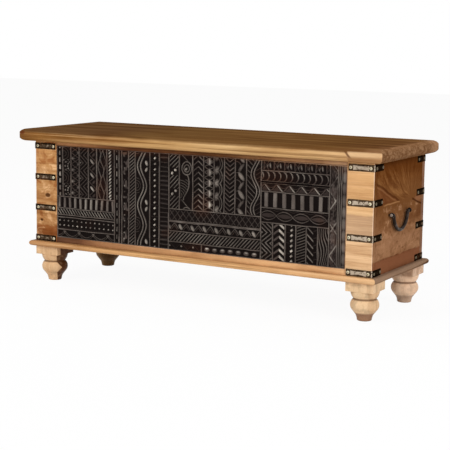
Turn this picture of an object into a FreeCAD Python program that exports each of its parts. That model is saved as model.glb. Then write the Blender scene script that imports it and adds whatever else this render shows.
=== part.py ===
import FreeCAD, Part
import math
import os
import Sketcher

# Wooden storage trunk with a carved front, turned feet and a hinged lid.
# Millimetres. +X runs to the right seen from the front, +Y to the back, +Z up.
# The origin lies on the floor under the middle of the lid. The pieces are laid out from the middle of the
# chest, which lies a little to the right, and moved there when they are done.

os.makedirs("parts", exist_ok=True)

SIZES = {
    # Whole trunk
    "lid_length": 1168,
    "lid_depth": 406,
    "total_height": 457,
    # Lid
    "lid_thickness": 36,
    "lid_corner_radius": 8,
    "end_overhang": 36.5,
    "lid_set_to_left": 5.5,
    "face_overhang": 27,
    "batten_width": 60,
    "batten_thickness": 20,
    "batten_from_lid_end": 204,
    "batten_end_gap": 14,
    # Chest walls and floor
    "frame_thickness": 18,
    "side_thickness": 18,
    "back_thickness": 18,
    "backing_thickness": 8,
    "floor_thickness": 12,
    "stile_width": 77,
    "top_rail_height": 11,
    "bottom_rail_height": 16,
    "lower_side_board_height": 39,
    "carving_setback": 1.5,
    "carving_depth": 5,
    "carving_rib_width": 3,
    "carving_post_width": 8,
    "carving_peg_radius": 3.6,
    "carving_wave_swing": 10,
    "glue_block_width": 22,
    # Plinth and feet
    "foot_height": 106,
    "plinth_thickness": 16,
    "plinth_overhang": 16,
    "plinth_board_width": 64,
    "foot_inset": 37,
    "feet_set_to_right": 3.5,
    "foot_block_width": 79,
    "foot_block_height": 25,
    "foot_ring_radius": 39,
    "foot_ring_height": 20.5,
    "foot_neck_radius": 31,
    "foot_neck_height": 2,
    "foot_bulb_radius": 38.6,
    "foot_bulb_height": 42.5,
    "foot_cup_radius": 23.6,
    "foot_cup_curve_radius": 45,
    "foot_base_radius": 19.8,
    "foot_base_rounding": 3,
    "dowel_radius": 9,
    "dowel_length": 34,
    # Corner straps and their nails
    "strap_height": 18.5,
    "strap_thickness": 2,
    "strap_corner_radius": 2.5,
    "strap_face_leg": 74,
    "strap_side_leg": 56,
    "strap_below_lid": 4.5,
    "nail_from_corner": 10,
    "nail_from_end": 7,
    "nail_head_radius": 4.5,
    "nail_head_height": 2.4,
    "nail_shank_radius": 1.2,
    "nail_depth": 7,
    # Butt hinges
    "hinge_from_chest_end": 199,
    "hinge_length": 64,
    "leaf_width": 20,
    "leaf_thickness": 2,
    "leaf_spacing": 0.2,
    "knuckle_radius": 4,
    "pin_radius": 2,
    "hinge_screw_spacing": 21,
    # Screws
    "small_screw_head_radius": 2.9,
    "small_screw_head_height": 1.5,
    "small_screw_shank_radius": 1.4,
    "small_screw_length": 16,
    "large_screw_head_radius": 4.5,
    "large_screw_head_height": 3,
    "large_screw_shank_radius": 2.2,
    "large_screw_length": 30,
    "plinth_screw_from_chest_end": 249,
    # Drop handles
    "handle_height": 276,
    "handle_set_to_front": 13,
    "handle_standoff": 8.8,
    "handle_half_width": 56,
    "handle_drop": 46,
    "handle_rod_radius": 4.8,
    "handle_bend_radius": 9,
    "handle_stub_radius": 3,
    "handle_stub_length": 10,
    "handle_button_radius": 4,
    "handle_button_length": 2.5,
    "eye_from_middle": 61.5,
    "eye_wire_radius": 1.5,
    "eye_shank_radius": 1.4,
    "eye_shank_depth": 15,
    # Clearances
    "running_gap": 0.05,
    "loose_gap": 0.3,
    "overrun": 20,
}

# Where the carved blocks meet, as shares of the width between the stiles
CARVED_SEAM_SHARES = (0, 0.2143, 0.4153, 0.7280, 0.9439, 1)
CARVED_NAMES = ("carved_block_1", "carved_block_2", "carved_block_3", "carved_block_4", "carved_end_strip")
# The carving of each block lies in fields, one above the other. Each field has the way that its strips run,
# its lower and upper edge as shares of the block's height, and the seams between its strips as shares of the
# block's width, from the left, or of the field's height, from below.
CARVED_FIELD_SHARES = {
    "carved_block_1": [
        ("level", (0, 0.452), (0, 0.195, 0.325, 0.488, 0.715, 1)),
        ("upright", (0.452, 1), (0, 0.104, 0.252, 0.4, 0.564, 0.712, 0.89, 1)),
    ],
    "carved_block_2": [
        ("upright", (0, 1), (0, 0.109, 0.157, 0.283, 0.402, 0.663, 0.831, 1)),
    ],
    "carved_block_3": [
        ("level", (0, 0.43), (0, 0.197, 0.453, 0.697, 1)),
        ("upright", (0.43, 1), (0, 0.119, 0.268, 0.386, 0.498, 0.61, 0.725, 0.844, 1)),
    ],
    "carved_block_4": [
        ("upright", (0, 0.379), (0, 0.181, 0.367, 0.524, 0.676, 0.843, 1)),
        ("level", (0.379, 1), (0, 0.237, 0.497, 0.648, 0.834, 1)),
    ],
    "carved_end_strip": [
        ("upright", (0, 1), (0, 0.453, 0.66, 1)),
    ],
}
# The main figures that stand in the strips, and how far apart they are as a share of their strip's length
CARVED_FIGURE_SHARES = {
    "carved_block_1_level_2": ("pegs", 0.0825),
    "carved_block_1_level_3": ("pegs", 0.0825),
    "carved_block_1_level_5": ("posts", 0.0949),
    "carved_block_1_upright_3": ("crossed_ribs", 0.114),
    "carved_block_1_upright_5": ("zigzag_rib", 0.134),
    "carved_block_2_upright_5": ("wave_rib", 0.2077),
    "carved_block_3_level_3": ("zigzag_rib", 0.066),
    "carved_block_3_upright_3": ("chevrons", 0.1),
    "carved_block_3_upright_4": ("diamonds", 0.1935),
    "carved_block_3_upright_7": ("zigzag_rib", 0.161),
    "carved_block_3_upright_8": ("wave_rib", 0.306),
    "carved_block_4_upright_1": ("zigzag_rib", 0.272),
    "carved_block_4_upright_2": ("chevrons", 0.171),
    "carved_block_4_level_1": ("crossed_ribs", 0.1227),
    "carved_block_4_level_2": ("posts", 0.1325),
    "carved_block_4_level_3": ("zigzag_rib", 0.0908),
}
# How much of its pitch and of its strip's width a carved diamond fills
DIAMOND_LENGTH_SHARE = 0.84
DIAMOND_WIDTH_SHARE = 0.66
# Where the boards of the lid, back and floor meet, as shares of their width
LID_SEAM_SHARES = (0, 0.22, 0.41, 0.60, 0.79, 1)
LID_NAMES = ("lid_board_front", "lid_board_second", "lid_board_middle", "lid_board_fourth", "lid_board_back")
BACK_SEAM_SHARES = (0, 0.25, 0.60, 1)
BACK_NAMES = ("back_board_bottom", "back_board_middle", "back_board_top")
FLOOR_SEAM_SHARES = (0, 0.35, 0.68, 1)
FLOOR_NAMES = ("floor_board_front", "floor_board_middle", "floor_board_back")
# How far down the bulb of a foot is widest, as a share of the bulb's height
BULB_WIDEST_SHARE = 0.38
# Where the bulb's straight lower side ends, as shares of the way out and up from the cup to its widest part
BULB_SHOULDER_SHARES = (0.63, 0.45)
STRAP_ROWS = 4
KNUCKLES = 5
CORNERS = {"front_left": (-1, -1), "front_right": (1, -1), "back_left": (-1, 1), "back_right": (1, 1)}
SIDES = {"left": -1, "right": 1}

doc = FreeCAD.newDocument("trunk")
sheet = doc.addObject("Spreadsheet::Sheet", "Sizes")
for row, (alias, millimetres) in enumerate(SIZES.items(), 1):
    sheet.set(f"A{row}", alias)
    sheet.set(f"B{row}", str(millimetres))
    sheet.setAlias(f"B{row}", alias)
doc.recompute()


class Length:
    """A size of the sheet, or a sum of such sizes, kept as a formula that objects can be bound to."""

    def __init__(self, formula):
        self.formula = str(formula)

    def __add__(self, other):
        return Length(f"({self.formula} + {formula_of(other)})")

    def __radd__(self, other):
        return Length(f"({formula_of(other)} + {self.formula})")

    def __sub__(self, other):
        return Length(f"({self.formula} - {formula_of(other)})")

    def __rsub__(self, other):
        return Length(f"({formula_of(other)} - {self.formula})")

    def __mul__(self, other):
        return Length(f"({self.formula} * ({formula_of(other)}))")

    __rmul__ = __mul__

    def __truediv__(self, other):
        return Length(f"({self.formula} / {formula_of(other)})")

    def __neg__(self):
        return Length(f"(0 - {self.formula})")

    @property
    def value(self):
        return float(sheet.evalExpression(self.formula))


def formula_of(length):
    return length.formula if isinstance(length, Length) else str(length)


def value_of(length):
    return length.value if isinstance(length, Length) else float(length)


def size(alias):
    return Length(f"Sizes.{alias}")


def vector_of(place):
    return FreeCAD.Vector(*[value_of(length) for length in place])


# Levels and faces that several pieces share
ZERO = Length(0)
OVERRUN = size("overrun")
RUNNING_GAP = size("running_gap")
LOOSE_GAP = size("loose_gap")
LID_TOP = size("total_height")
CHEST_TOP = LID_TOP - size("lid_thickness")
PLINTH_BOTTOM = size("foot_height")
CHEST_BOTTOM = PLINTH_BOTTOM + size("plinth_thickness")
FLOOR_TOP = CHEST_BOTTOM + size("floor_thickness")
CHEST_END = size("lid_length") / 2 - size("end_overhang")
CHEST_FACE = size("lid_depth") / 2 - size("face_overhang")
SIDE_INSIDE = CHEST_END - size("side_thickness")
FRAME_BACK = size("frame_thickness") - CHEST_FACE
CARVING_GROUND = size("carving_setback") + size("carving_depth") - CHEST_FACE
BACKING_BACK = FRAME_BACK + size("backing_thickness")
BACK_INSIDE = CHEST_FACE - size("back_thickness")
STILE_INSIDE = CHEST_END - size("stile_width")
SIDE_SEAM = CHEST_BOTTOM + size("lower_side_board_height")
HINGE_Y = CHEST_FACE + size("knuckle_radius") + LOOSE_GAP
HINGE_Z = CHEST_TOP
HINGE_X = CHEST_END - size("hinge_from_chest_end")
LID_MIDDLE = -size("lid_set_to_left")
HANDLE_MIDDLE = -size("handle_set_to_front")
BATTEN_X = size("lid_length") / 2 - size("batten_from_lid_end")

TURN_TO_X = FreeCAD.Rotation(FreeCAD.Vector(0, 1, 0), 90)
TURN_TO_Y = FreeCAD.Rotation(FreeCAD.Vector(1, 0, 0), -90)
UPRIGHT = FreeCAD.Rotation()
UPSIDE_DOWN = FreeCAD.Rotation(FreeCAD.Vector(1, 0, 0), 180)
SKETCH_PLANES = {
    "XY": UPRIGHT,
    "XZ": FreeCAD.Rotation(FreeCAD.Vector(1, 0, 0), 90),
    "YZ": FreeCAD.Rotation(FreeCAD.Vector(1, 1, 1), 120),
}


placed_along_x = {}


def add(kind, label):
    thing = doc.addObject(kind, label)
    thing.Label = label
    return thing


def put(thing, place, rotation=UPRIGHT):
    """Turns an object and binds its place to three lengths."""
    thing.Placement = FreeCAD.Placement(FreeCAD.Vector(), rotation)
    for axis, length in zip("xyz", place):
        thing.setExpression(f"Placement.Base.{axis}", formula_of(length))
    placed_along_x[thing.Name] = place[0]
    return thing


def board(label, x_span, y_span, z_span):
    """A square-edged board between pairs of faces."""
    box = add("Part::Box", label)
    for edge, (low, high) in zip(("Length", "Width", "Height"), (x_span, y_span, z_span)):
        box.setExpression(edge, formula_of(high - low))
    return put(box, [low for low, high in (x_span, y_span, z_span)])


def rod(label, radius, length, place, rotation=UPRIGHT):
    """A round bar that starts at a place and runs along its turned Z axis."""
    cylinder = add("Part::Cylinder", label)
    cylinder.setExpression("Radius", formula_of(radius))
    cylinder.setExpression("Height", formula_of(length))
    return put(cylinder, place, rotation)


def compound(label, pieces):
    joined = add("Part::Compound", label)
    joined.Links = pieces
    return joined


def cut(label, base, tools):
    """A piece with the shapes of its tools taken away."""
    cut_piece = add("Part::Cut", label)
    cut_piece.Base = base
    cut_piece.Tool = tools[0] if len(tools) == 1 else compound(f"{label}_tools", tools)
    return cut_piece


def fuse(label, pieces):
    fused = add("Part::MultiFuse", label)
    fused.Shapes = pieces
    return fused


def common(label, pieces):
    shared = add("Part::MultiCommon", label)
    shared.Shapes = pieces
    return shared


def copies(label, source, placements):
    """One node that holds a separate solid of the same piece at each placement."""
    doc.recompute()
    feature = add("Part::Feature", label)
    solids = [source.Shape.transformed(place.toMatrix(), True) for place in placements]
    feature.Shape = Part.makeCompound(solids)
    return feature


def arc_between(start, end, radius, turn):
    """The arc shorter than half a circle from start to end. It turns left for 1 and right for -1."""
    chord = end - start
    rise = math.sqrt(max(radius * radius - chord.Length * chord.Length / 4, 0))
    left = FreeCAD.Vector(-chord.y, chord.x, 0).normalize()
    centre = (start + end) / 2 + left * (rise * turn)
    circle = Part.Circle(centre, FreeCAD.Vector(0, 0, 1), radius)
    angles = [math.atan2(point.y - centre.y, point.x - centre.x) for point in (start, end)]
    return Part.ArcOfCircle(circle, *(angles if turn > 0 else reversed(angles)))


def draw(sketch, points, closed=True):
    """Draws lines and arcs through points, each bound to its lengths. An arc's point adds (radius, turn)."""
    ends = []
    following = points[1:] + (points[:1] if closed else [])
    for point, after in zip(points, following):
        start = FreeCAD.Vector(value_of(point[0]), value_of(point[1]), 0)
        end = FreeCAD.Vector(value_of(after[0]), value_of(after[1]), 0)
        first, last = 1, 2
        if len(point) > 2:
            radius, turn = point[2]
            edge = sketch.addGeometry(arc_between(start, end, value_of(radius), turn))
            rule = sketch.addConstraint(Sketcher.Constraint("Radius", edge, value_of(radius)))
            sketch.setExpression(f"Constraints[{rule}]", formula_of(radius))
            first, last = (1, 2) if turn > 0 else (2, 1)
        else:
            edge = sketch.addGeometry(Part.LineSegment(start, end))
        ends.append((edge, first, last))
    joints = list(zip(ends, ends[1:] + (ends[:1] if closed else [])))
    for (edge, _, last), (next_edge, next_first, _) in joints:
        sketch.addConstraint(Sketcher.Constraint("Coincident", edge, last, next_edge, next_first))
    anchors = [(edge, first, point) for (edge, first, _), point in zip(ends, points)]
    if ends and not closed:
        anchors.append((ends[-1][0], ends[-1][2], points[-1]))
    for edge, vertex, point in anchors:
        for direction, length in (("DistanceX", point[0]), ("DistanceY", point[1])):
            rule = sketch.addConstraint(Sketcher.Constraint(direction, -1, 1, edge, vertex, value_of(length)))
            sketch.setExpression(f"Constraints[{rule}]", formula_of(length))
    return sketch


def extruded(label, plane, points, length, place):
    """A closed outline on a main plane, run along that plane's normal."""
    sketch = draw(add("Sketcher::SketchObject", f"{label}_outline"), points)
    put(sketch, place, SKETCH_PLANES[plane])
    prism = add("Part::Extrusion", label)
    prism.Base = sketch
    prism.DirMode = "Normal"
    prism.Solid = True
    prism.setExpression("LengthFwd", formula_of(length))
    return prism


def body_sketch(body, label, plane, points, closed=True):
    """A sketch on one of a body's own origin planes."""
    sketch = body.newObject("Sketcher::SketchObject", f"{body.Label}_{label}")
    role = f"{plane}_Plane"
    sketch.AttachmentSupport = ([part for part in body.Origin.OriginFeatures if part.Role == role][0], [""])
    sketch.MapMode = "FlatFace"
    return draw(sketch, points, closed)


def turned(body, label, points):
    """Adds a profile in the XZ plane, turned once round the body's Z axis."""
    sketch = body_sketch(body, f"{label}_profile", "XZ", points)
    turning = body.newObject("PartDesign::Revolution", f"{body.Label}_{label}")
    turning.Profile = sketch
    turning.ReferenceAxis = (sketch, ["V_Axis"])
    turning.Angle = 360
    return turning


def padded(body, label, points, length):
    """Adds an outline in the XY plane, raised along Z."""
    sketch = body_sketch(body, f"{label}_outline", "XY", points)
    pad = body.newObject("PartDesign::Pad", f"{body.Label}_{label}")
    pad.Profile = sketch
    pad.setExpression("Length", formula_of(length))
    return pad


def spans(low, high, shares):
    """Neighbouring spans between two faces, split at shares of the way."""
    seams = [low + (high - low) * share for share in shares]
    return list(zip(seams, seams[1:]))


# Fasteners

def screw(label, kind, gap=ZERO, grow=ZERO):
    """A countersunk screw with the top of its head at the origin, pointing down. With gap and grow it is
    the hole for one: wider all round by the gap, and open above the head by grow."""
    head = size(f"{kind}_screw_head_radius") + gap
    shank = size(f"{kind}_screw_shank_radius") + gap
    neck = -size(f"{kind}_screw_head_height") - gap
    tip = -size(f"{kind}_screw_length") - gap
    body = add("PartDesign::Body", label)
    outline = [(ZERO, grow), (ZERO, tip), (shank, tip), (shank, neck), (head, ZERO)]
    if grow is not ZERO:
        outline.append((head, grow))
    turned(body, "shank_and_head", outline)
    return body


def make_screws(label, source, places, rotation=UPRIGHT):
    return copies(label, source, [FreeCAD.Placement(vector_of(place), rotation) for place in places])


def make_nail(label):
    """A round-headed nail on the origin, pointing down."""
    head = size("nail_head_radius")
    rise = size("nail_head_height")
    shank = size("nail_shank_radius")
    dome = (head * head + rise * rise) / (rise * 2)
    body = add("PartDesign::Body", label)
    depth = -size("nail_depth") - size("strap_thickness")
    outline = [(ZERO, depth), (shank, depth), (shank, ZERO), (head, ZERO, (dome, 1)), (ZERO, rise)]
    turned(body, "shank_and_head", outline)
    return body


def nail_places(corner):
    """Places on the strap's outer faces at a corner, with the way each nail's head looks."""
    x_sign, y_sign = corner
    outer_end = CHEST_END + size("strap_thickness")
    outer_face = CHEST_FACE + size("strap_thickness")
    places = []
    for row in range(STRAP_ROWS):
        level = strap_bottom(row) + size("strap_height") / 2
        for inward in (size("nail_from_corner"), size("strap_face_leg") - size("nail_from_end")):
            places.append(((x_sign * (CHEST_END - inward), y_sign * outer_face, level), (0, y_sign, 0)))
        for inward in (size("nail_from_corner"), size("strap_side_leg") - size("nail_from_end")):
            places.append(((x_sign * outer_end, y_sign * (CHEST_FACE - inward), level), (x_sign, 0, 0)))
    return places


def nail_holes(label, corner):
    """The pilot holes for all nails at one corner, cut from the wood's own faces."""
    depth = size("nail_depth") + size("strap_thickness") + RUNNING_GAP
    holes = []
    for number, (place, looks) in enumerate(nail_places(corner)):
        inward = FreeCAD.Rotation(FreeCAD.Vector(0, 0, 1), FreeCAD.Vector(*looks) * -1)
        hole = rod(f"{label}_{number}", size("nail_shank_radius") + RUNNING_GAP, depth, place, inward)
        holes.append(hole)
    return compound(label, holes)


# Corner straps

def strap_bottom(row):
    """The height of a strap's lower edge. The first strap stands on the plinth, the last is under the lid."""
    lowest = CHEST_BOTTOM
    highest = CHEST_TOP - size("strap_below_lid") - size("strap_height")
    return lowest + (highest - lowest) * row / (STRAP_ROWS - 1)


def make_strap(label):
    """The bent band of a front right corner, with its inner corner at the origin."""
    body = add("PartDesign::Body", label)
    thick = size("strap_thickness")
    bend = size("strap_corner_radius")
    face = size("strap_face_leg")
    side = size("strap_side_leg")
    outline = [
        (ZERO, ZERO),
        (-face, ZERO),
        (-face, -thick),
        (thick - bend, -thick, (bend, 1)),
        (thick, bend - thick),
        (thick, side),
        (ZERO, side),
    ]
    padded(body, "band", outline, size("strap_height"))
    hole_radius = size("nail_shank_radius") + RUNNING_GAP
    level = size("strap_height") / 2
    for leg, plane, inward, reach in (("face", "XZ", -1, face), ("side", "YZ", 1, side)):
        sketch = body_sketch(body, f"{leg}_holes", plane, [], closed=False)
        for distance in (size("nail_from_corner"), reach - size("nail_from_end")):
            place = FreeCAD.Vector(inward * distance.value, level.value, 0)
            ring = sketch.addGeometry(Part.Circle(place, FreeCAD.Vector(0, 0, 1), hole_radius.value))
            rules = (("DistanceX", distance * inward), ("DistanceY", level))
            for direction, length in rules:
                rule = sketch.addConstraint(Sketcher.Constraint(direction, -1, 1, ring, 3, length.value))
                sketch.setExpression(f"Constraints[{rule}]", formula_of(length))
            rule = sketch.addConstraint(Sketcher.Constraint("Radius", ring, hole_radius.value))
            sketch.setExpression(f"Constraints[{rule}]", formula_of(hole_radius))
        pocket = body.newObject("PartDesign::Pocket", f"{label}_{leg}_nail_holes")
        pocket.Profile = sketch
        pocket.Midplane = True
        pocket.setExpression("Length", formula_of(thick * 4))
    return body


def make_straps(source):
    """One node per corner, with a strap in each row."""
    doc.recompute()
    for corner, (x_sign, y_sign) in CORNERS.items():
        shape = source.Shape
        if x_sign < 0:
            shape = shape.mirror(FreeCAD.Vector(), FreeCAD.Vector(1, 0, 0))
        if y_sign > 0:
            shape = shape.mirror(FreeCAD.Vector(), FreeCAD.Vector(0, 1, 0))
        straps = []
        for row in range(STRAP_ROWS):
            place = vector_of((x_sign * CHEST_END, y_sign * CHEST_FACE, strap_bottom(row)))
            straps.append(shape.translated(place))
        node = add("Part::Feature", f"corner_straps_{corner}")
        node.Shape = Part.makeCompound(straps)
        nodes.append(node)


# Hinges

def hinge_screw_places(side, height):
    """Three screws along the middle of one leaf."""
    middle = side * HINGE_X
    y = HINGE_Y - (size("leaf_width") + size("knuckle_radius") + LOOSE_GAP) / 2
    return [(middle + step * size("hinge_screw_spacing"), y, height) for step in (-1, 0, 1)]


def leaf_heights(upward):
    """The low and high face of a leaf above or below the joint between chest and lid."""
    near = size("leaf_spacing") / 2
    far = near + size("leaf_thickness")
    return (HINGE_Z + near, HINGE_Z + far) if upward else (HINGE_Z - far, HINGE_Z - near)


def hinge_span(side):
    middle = side * HINGE_X
    return (middle - size("hinge_length") / 2, middle + size("hinge_length") / 2)


def make_leaf(label, side, upward, hole_source):
    """One leaf of a hinge: its plate, its share of the knuckles, the pin's bore and its screw holes."""
    x_span = hinge_span(side)
    z_span = leaf_heights(upward)
    clear_of_knuckle = HINGE_Y - size("knuckle_radius") - LOOSE_GAP
    pieces = [board(f"{label}_plate", x_span, (HINGE_Y - size("leaf_width"), clear_of_knuckle), z_span)]
    knuckle = size("hinge_length") / KNUCKLES
    for number in range(1 if upward else 0, KNUCKLES, 2):
        start = x_span[0] + knuckle * number + (RUNNING_GAP if number else ZERO)
        end = x_span[0] + knuckle * (number + 1) - (RUNNING_GAP if number < KNUCKLES - 1 else ZERO)
        pieces.append(board(f"{label}_tongue_{number}", (start, end), (clear_of_knuckle, HINGE_Y), z_span))
        round_end = (start, HINGE_Y, HINGE_Z)
        pieces.append(rod(f"{label}_knuckle_{number}", size("knuckle_radius"), end - start,
                          round_end, TURN_TO_X))
    bore_start = (x_span[0] - OVERRUN, HINGE_Y, HINGE_Z)
    bore = rod(f"{label}_bore", size("pin_radius") + RUNNING_GAP, size("hinge_length") + OVERRUN * 2,
               bore_start, TURN_TO_X)
    head_level = z_span[0] if upward else z_span[1]
    rotation = UPSIDE_DOWN if upward else UPRIGHT
    holes = make_screws(f"{label}_holes", hole_source, hinge_screw_places(side, head_level), rotation)
    return cut(label, fuse(f"{label}_blank", pieces), [bore, holes])


def hinge_recess(label, side, upward):
    """The seat that a leaf takes in the wood. The lid's seat has a groove that clears the knuckles."""
    low_x, high_x = hinge_span(side)
    x_span = (low_x - LOOSE_GAP, high_x + LOOSE_GAP)
    low_z, high_z = leaf_heights(upward)
    z_span = (HINGE_Z - LOOSE_GAP, high_z) if upward else (low_z, HINGE_Z + LOOSE_GAP)
    inner_y = HINGE_Y - size("leaf_width") - LOOSE_GAP
    seat = board(f"{label}_seat", x_span, (inner_y, HINGE_Y), z_span)
    if not upward:
        return [seat]
    groove_start = (x_span[0], HINGE_Y, HINGE_Z)
    groove = rod(f"{label}_groove", size("knuckle_radius") + LOOSE_GAP, x_span[1] - x_span[0],
                 groove_start, TURN_TO_X)
    return [seat, groove]


# Lid

def nose_outline(half_width, low, high):
    """A slab's section with a half-round nose at each side."""
    nose = (high - low) / 2
    middle = low + nose
    flat = half_width - nose
    return [
        (-flat, low),
        (flat, low, (nose, 1)),
        (half_width, middle, (nose, 1)),
        (flat, high),
        (-flat, high, (nose, 1)),
        (-half_width, middle, (nose, 1)),
    ]


def rounded_outline(half_length, half_width, radius):
    """A rectangle with rounded corners, seen from above."""
    inner_x = half_length - radius
    inner_y = half_width - radius
    return [
        (-inner_x, -half_width),
        (inner_x, -half_width, (radius, 1)),
        (half_length, -inner_y),
        (half_length, inner_y, (radius, 1)),
        (inner_x, half_width),
        (-inner_x, half_width, (radius, 1)),
        (-half_length, inner_y),
        (-half_length, -inner_y, (radius, 1)),
    ]


def make_lid_boards(batten_holes, hinge_holes):
    """Five boards that together make a slab with a half-round nose all round and eased corners."""
    half_length = size("lid_length") / 2
    half_depth = size("lid_depth") / 2
    long_slab = extruded("lid_long_nose", "YZ", nose_outline(half_depth, CHEST_TOP, LID_TOP),
                         size("lid_length"), (LID_MIDDLE - half_length, ZERO, ZERO))
    cross_slab = extruded("lid_cross_nose", "XZ", nose_outline(half_length, CHEST_TOP, LID_TOP),
                          size("lid_depth"), (LID_MIDDLE, half_depth, ZERO))
    plan = rounded_outline(half_length, half_depth, size("lid_corner_radius"))
    plan_slab = extruded("lid_plan", "XY", plan, size("lid_thickness"), (LID_MIDDLE, ZERO, CHEST_TOP))
    slab = common("lid_slab", [long_slab, cross_slab, plan_slab])
    for label, (low_y, high_y) in zip(LID_NAMES, spans(-half_depth, half_depth, LID_SEAM_SHARES)):
        x_span = (LID_MIDDLE - half_length - OVERRUN, LID_MIDDLE + half_length + OVERRUN)
        if label == LID_NAMES[0]:
            low_y = low_y - OVERRUN
        if label == LID_NAMES[-1]:
            high_y = high_y + OVERRUN
        strip = board(f"{label}_strip", x_span, (low_y, high_y), (CHEST_TOP - OVERRUN, LID_TOP + OVERRUN))
        plank = common(f"{label}_plank", [slab, strip])
        tools = [batten_holes] + (hinge_holes if label == LID_NAMES[-1] else [])
        nodes.append(cut(label, plank, tools))


def batten_screw_places():
    """One screw in each lid board at each batten, from below."""
    half_depth = size("lid_depth") / 2
    middles = [(low + high) / 2 for low, high in spans(-half_depth, half_depth, LID_SEAM_SHARES)]
    first = BACKING_BACK + size("batten_end_gap") + size("batten_width") / 4
    last = BACK_INSIDE - size("batten_end_gap") - size("batten_width") / 4
    level = CHEST_TOP - size("batten_thickness")
    rows = [first] + middles[1:-1] + [last]
    return [(LID_MIDDLE + side * BATTEN_X, y, level) for side in SIDES.values() for y in rows]


def make_battens(holes):
    """Two cross battens under the lid, inside the chest when it is closed."""
    y_span = (BACKING_BACK + size("batten_end_gap"), BACK_INSIDE - size("batten_end_gap"))
    for name, side in SIDES.items():
        middle = LID_MIDDLE + side * BATTEN_X
        x_span = (middle - size("batten_width") / 2, middle + size("batten_width") / 2)
        z_span = (CHEST_TOP - size("batten_thickness"), CHEST_TOP)
        blank = board(f"lid_batten_{name}_blank", x_span, y_span, z_span)
        nodes.append(cut(f"lid_batten_{name}", blank, [holes]))


# Carving. A strip's place along its length comes first, and its place across comes second.

def standing_figure(label, upright, points):
    """A figure on the ground of the carving, from its outline along and across its strip."""
    if upright:
        points = [(across, lengthwise, *arc) for lengthwise, across, *arc in points]
    else:
        points = [(lengthwise, across, *[(radius, -turn) for radius, turn in arc])
                  for lengthwise, across, *arc in points]
    start = (ZERO, CARVING_GROUND + OVERRUN, ZERO)
    return extruded(label, "XZ", points, OVERRUN * 3, start)


def band(label, upright, line, shift, sideways):
    """A band between a line of points and the same line further on, shifted along or across the strip."""
    along, across = (ZERO, shift) if sideways else (shift, ZERO)
    there = [(a - along, b - across, *arc) for a, b, arc in line]
    arcs_back = [[(radius, -turn) for radius, turn in arc] for _, _, arc in line[-2::-1]] + [[]]
    back = [(a + along, b + across, *arc) for (a, b, _), arc in zip(line[::-1], arcs_back)]
    return standing_figure(label, upright, there + back)


def steps_along(length_span, share):
    """Places one share of the length apart, from the low end to just past the high end."""
    low, high = length_span
    return [low + (high - low) * (share * number) for number in range(math.ceil(1 / share) + 1)]


def zigzag_rib(label, upright, length_span, width_span, share, first=0):
    """A rib that crosses its strip to and fro. Its tips run into the ribs along the strip."""
    line = [(place, width_span[(number + first) % 2], [])
            for number, place in enumerate(steps_along(length_span, share))]
    return [band(label, upright, line, size("carving_rib_width"), True)]


def crossed_ribs(label, upright, length_span, width_span, share):
    return (zigzag_rib(f"{label}_to", upright, length_span, width_span, share)
            + zigzag_rib(f"{label}_fro", upright, length_span, width_span, share, 1))


def wave_rib(label, upright, length_span, width_span, share):
    low, high = length_span
    chord = (high - low) * share
    swing = size("carving_wave_swing")
    radius = (chord * chord / 4 + swing * swing) / (swing * 2)
    middle = (width_span[0] + width_span[1]) / 2
    line = [(place, middle, [(radius, 1 if number % 2 else -1)])
            for number, place in enumerate(steps_along(length_span, share))]
    line[-1] = (line[-1][0], middle, [])
    return [band(label, upright, line, size("carving_rib_width") / 2, True)]


def chevrons(label, upright, length_span, width_span, share):
    middle = (width_span[0] + width_span[1]) / 2
    rise = (width_span[1] - width_span[0]) / 2
    pieces = []
    for number, place in enumerate(steps_along(length_span, share)):
        line = [(place, width_span[0], []), (place - rise, middle, []), (place, width_span[1], [])]
        pieces.append(band(f"{label}_{number}", upright, line, size("carving_rib_width") / 2, False))
    return pieces


def diamonds(label, upright, length_span, width_span, share):
    pitch = (length_span[1] - length_span[0]) * share
    half_length = pitch * DIAMOND_LENGTH_SHARE / 2
    middle = (width_span[0] + width_span[1]) / 2
    half_width = (width_span[1] - width_span[0]) * DIAMOND_WIDTH_SHARE / 2
    pieces = []
    for number, start in enumerate(steps_along(length_span, share)[:-1]):
        place = start + pitch / 2
        points = [(place - half_length, middle), (place, middle + half_width), (place + half_length, middle),
                  (place, middle - half_width)]
        pieces.append(standing_figure(f"{label}_{number}", upright, points))
    return pieces


def posts(label, upright, length_span, width_span, share):
    half = size("carving_post_width") / 2
    low, high = width_span
    pieces = []
    for number, start in enumerate(steps_along(length_span, share)[:-1]):
        place = start + (length_span[1] - length_span[0]) * share / 2
        points = [(place - half, low), (place + half, low), (place + half, high), (place - half, high)]
        pieces.append(standing_figure(f"{label}_{number}", upright, points))
    return pieces


def pegs(label, upright, length_span, width_span, share):
    middle = (width_span[0] + width_span[1]) / 2
    front = CARVING_GROUND - OVERRUN * 2
    radius = size("carving_peg_radius")
    pieces = []
    for number, start in enumerate(steps_along(length_span, share)[:-1]):
        place = start + (length_span[1] - length_span[0]) * share / 2
        x, z = (middle, place) if upright else (place, middle)
        pieces.append(rod(f"{label}_{number}", radius, OVERRUN * 3, (x, front, z), TURN_TO_Y))
    return pieces


CARVED_FIGURES = {"zigzag_rib": zigzag_rib, "crossed_ribs": crossed_ribs, "wave_rib": wave_rib,
                  "chevrons": chevrons, "diamonds": diamonds, "posts": posts, "pegs": pegs}


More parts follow.
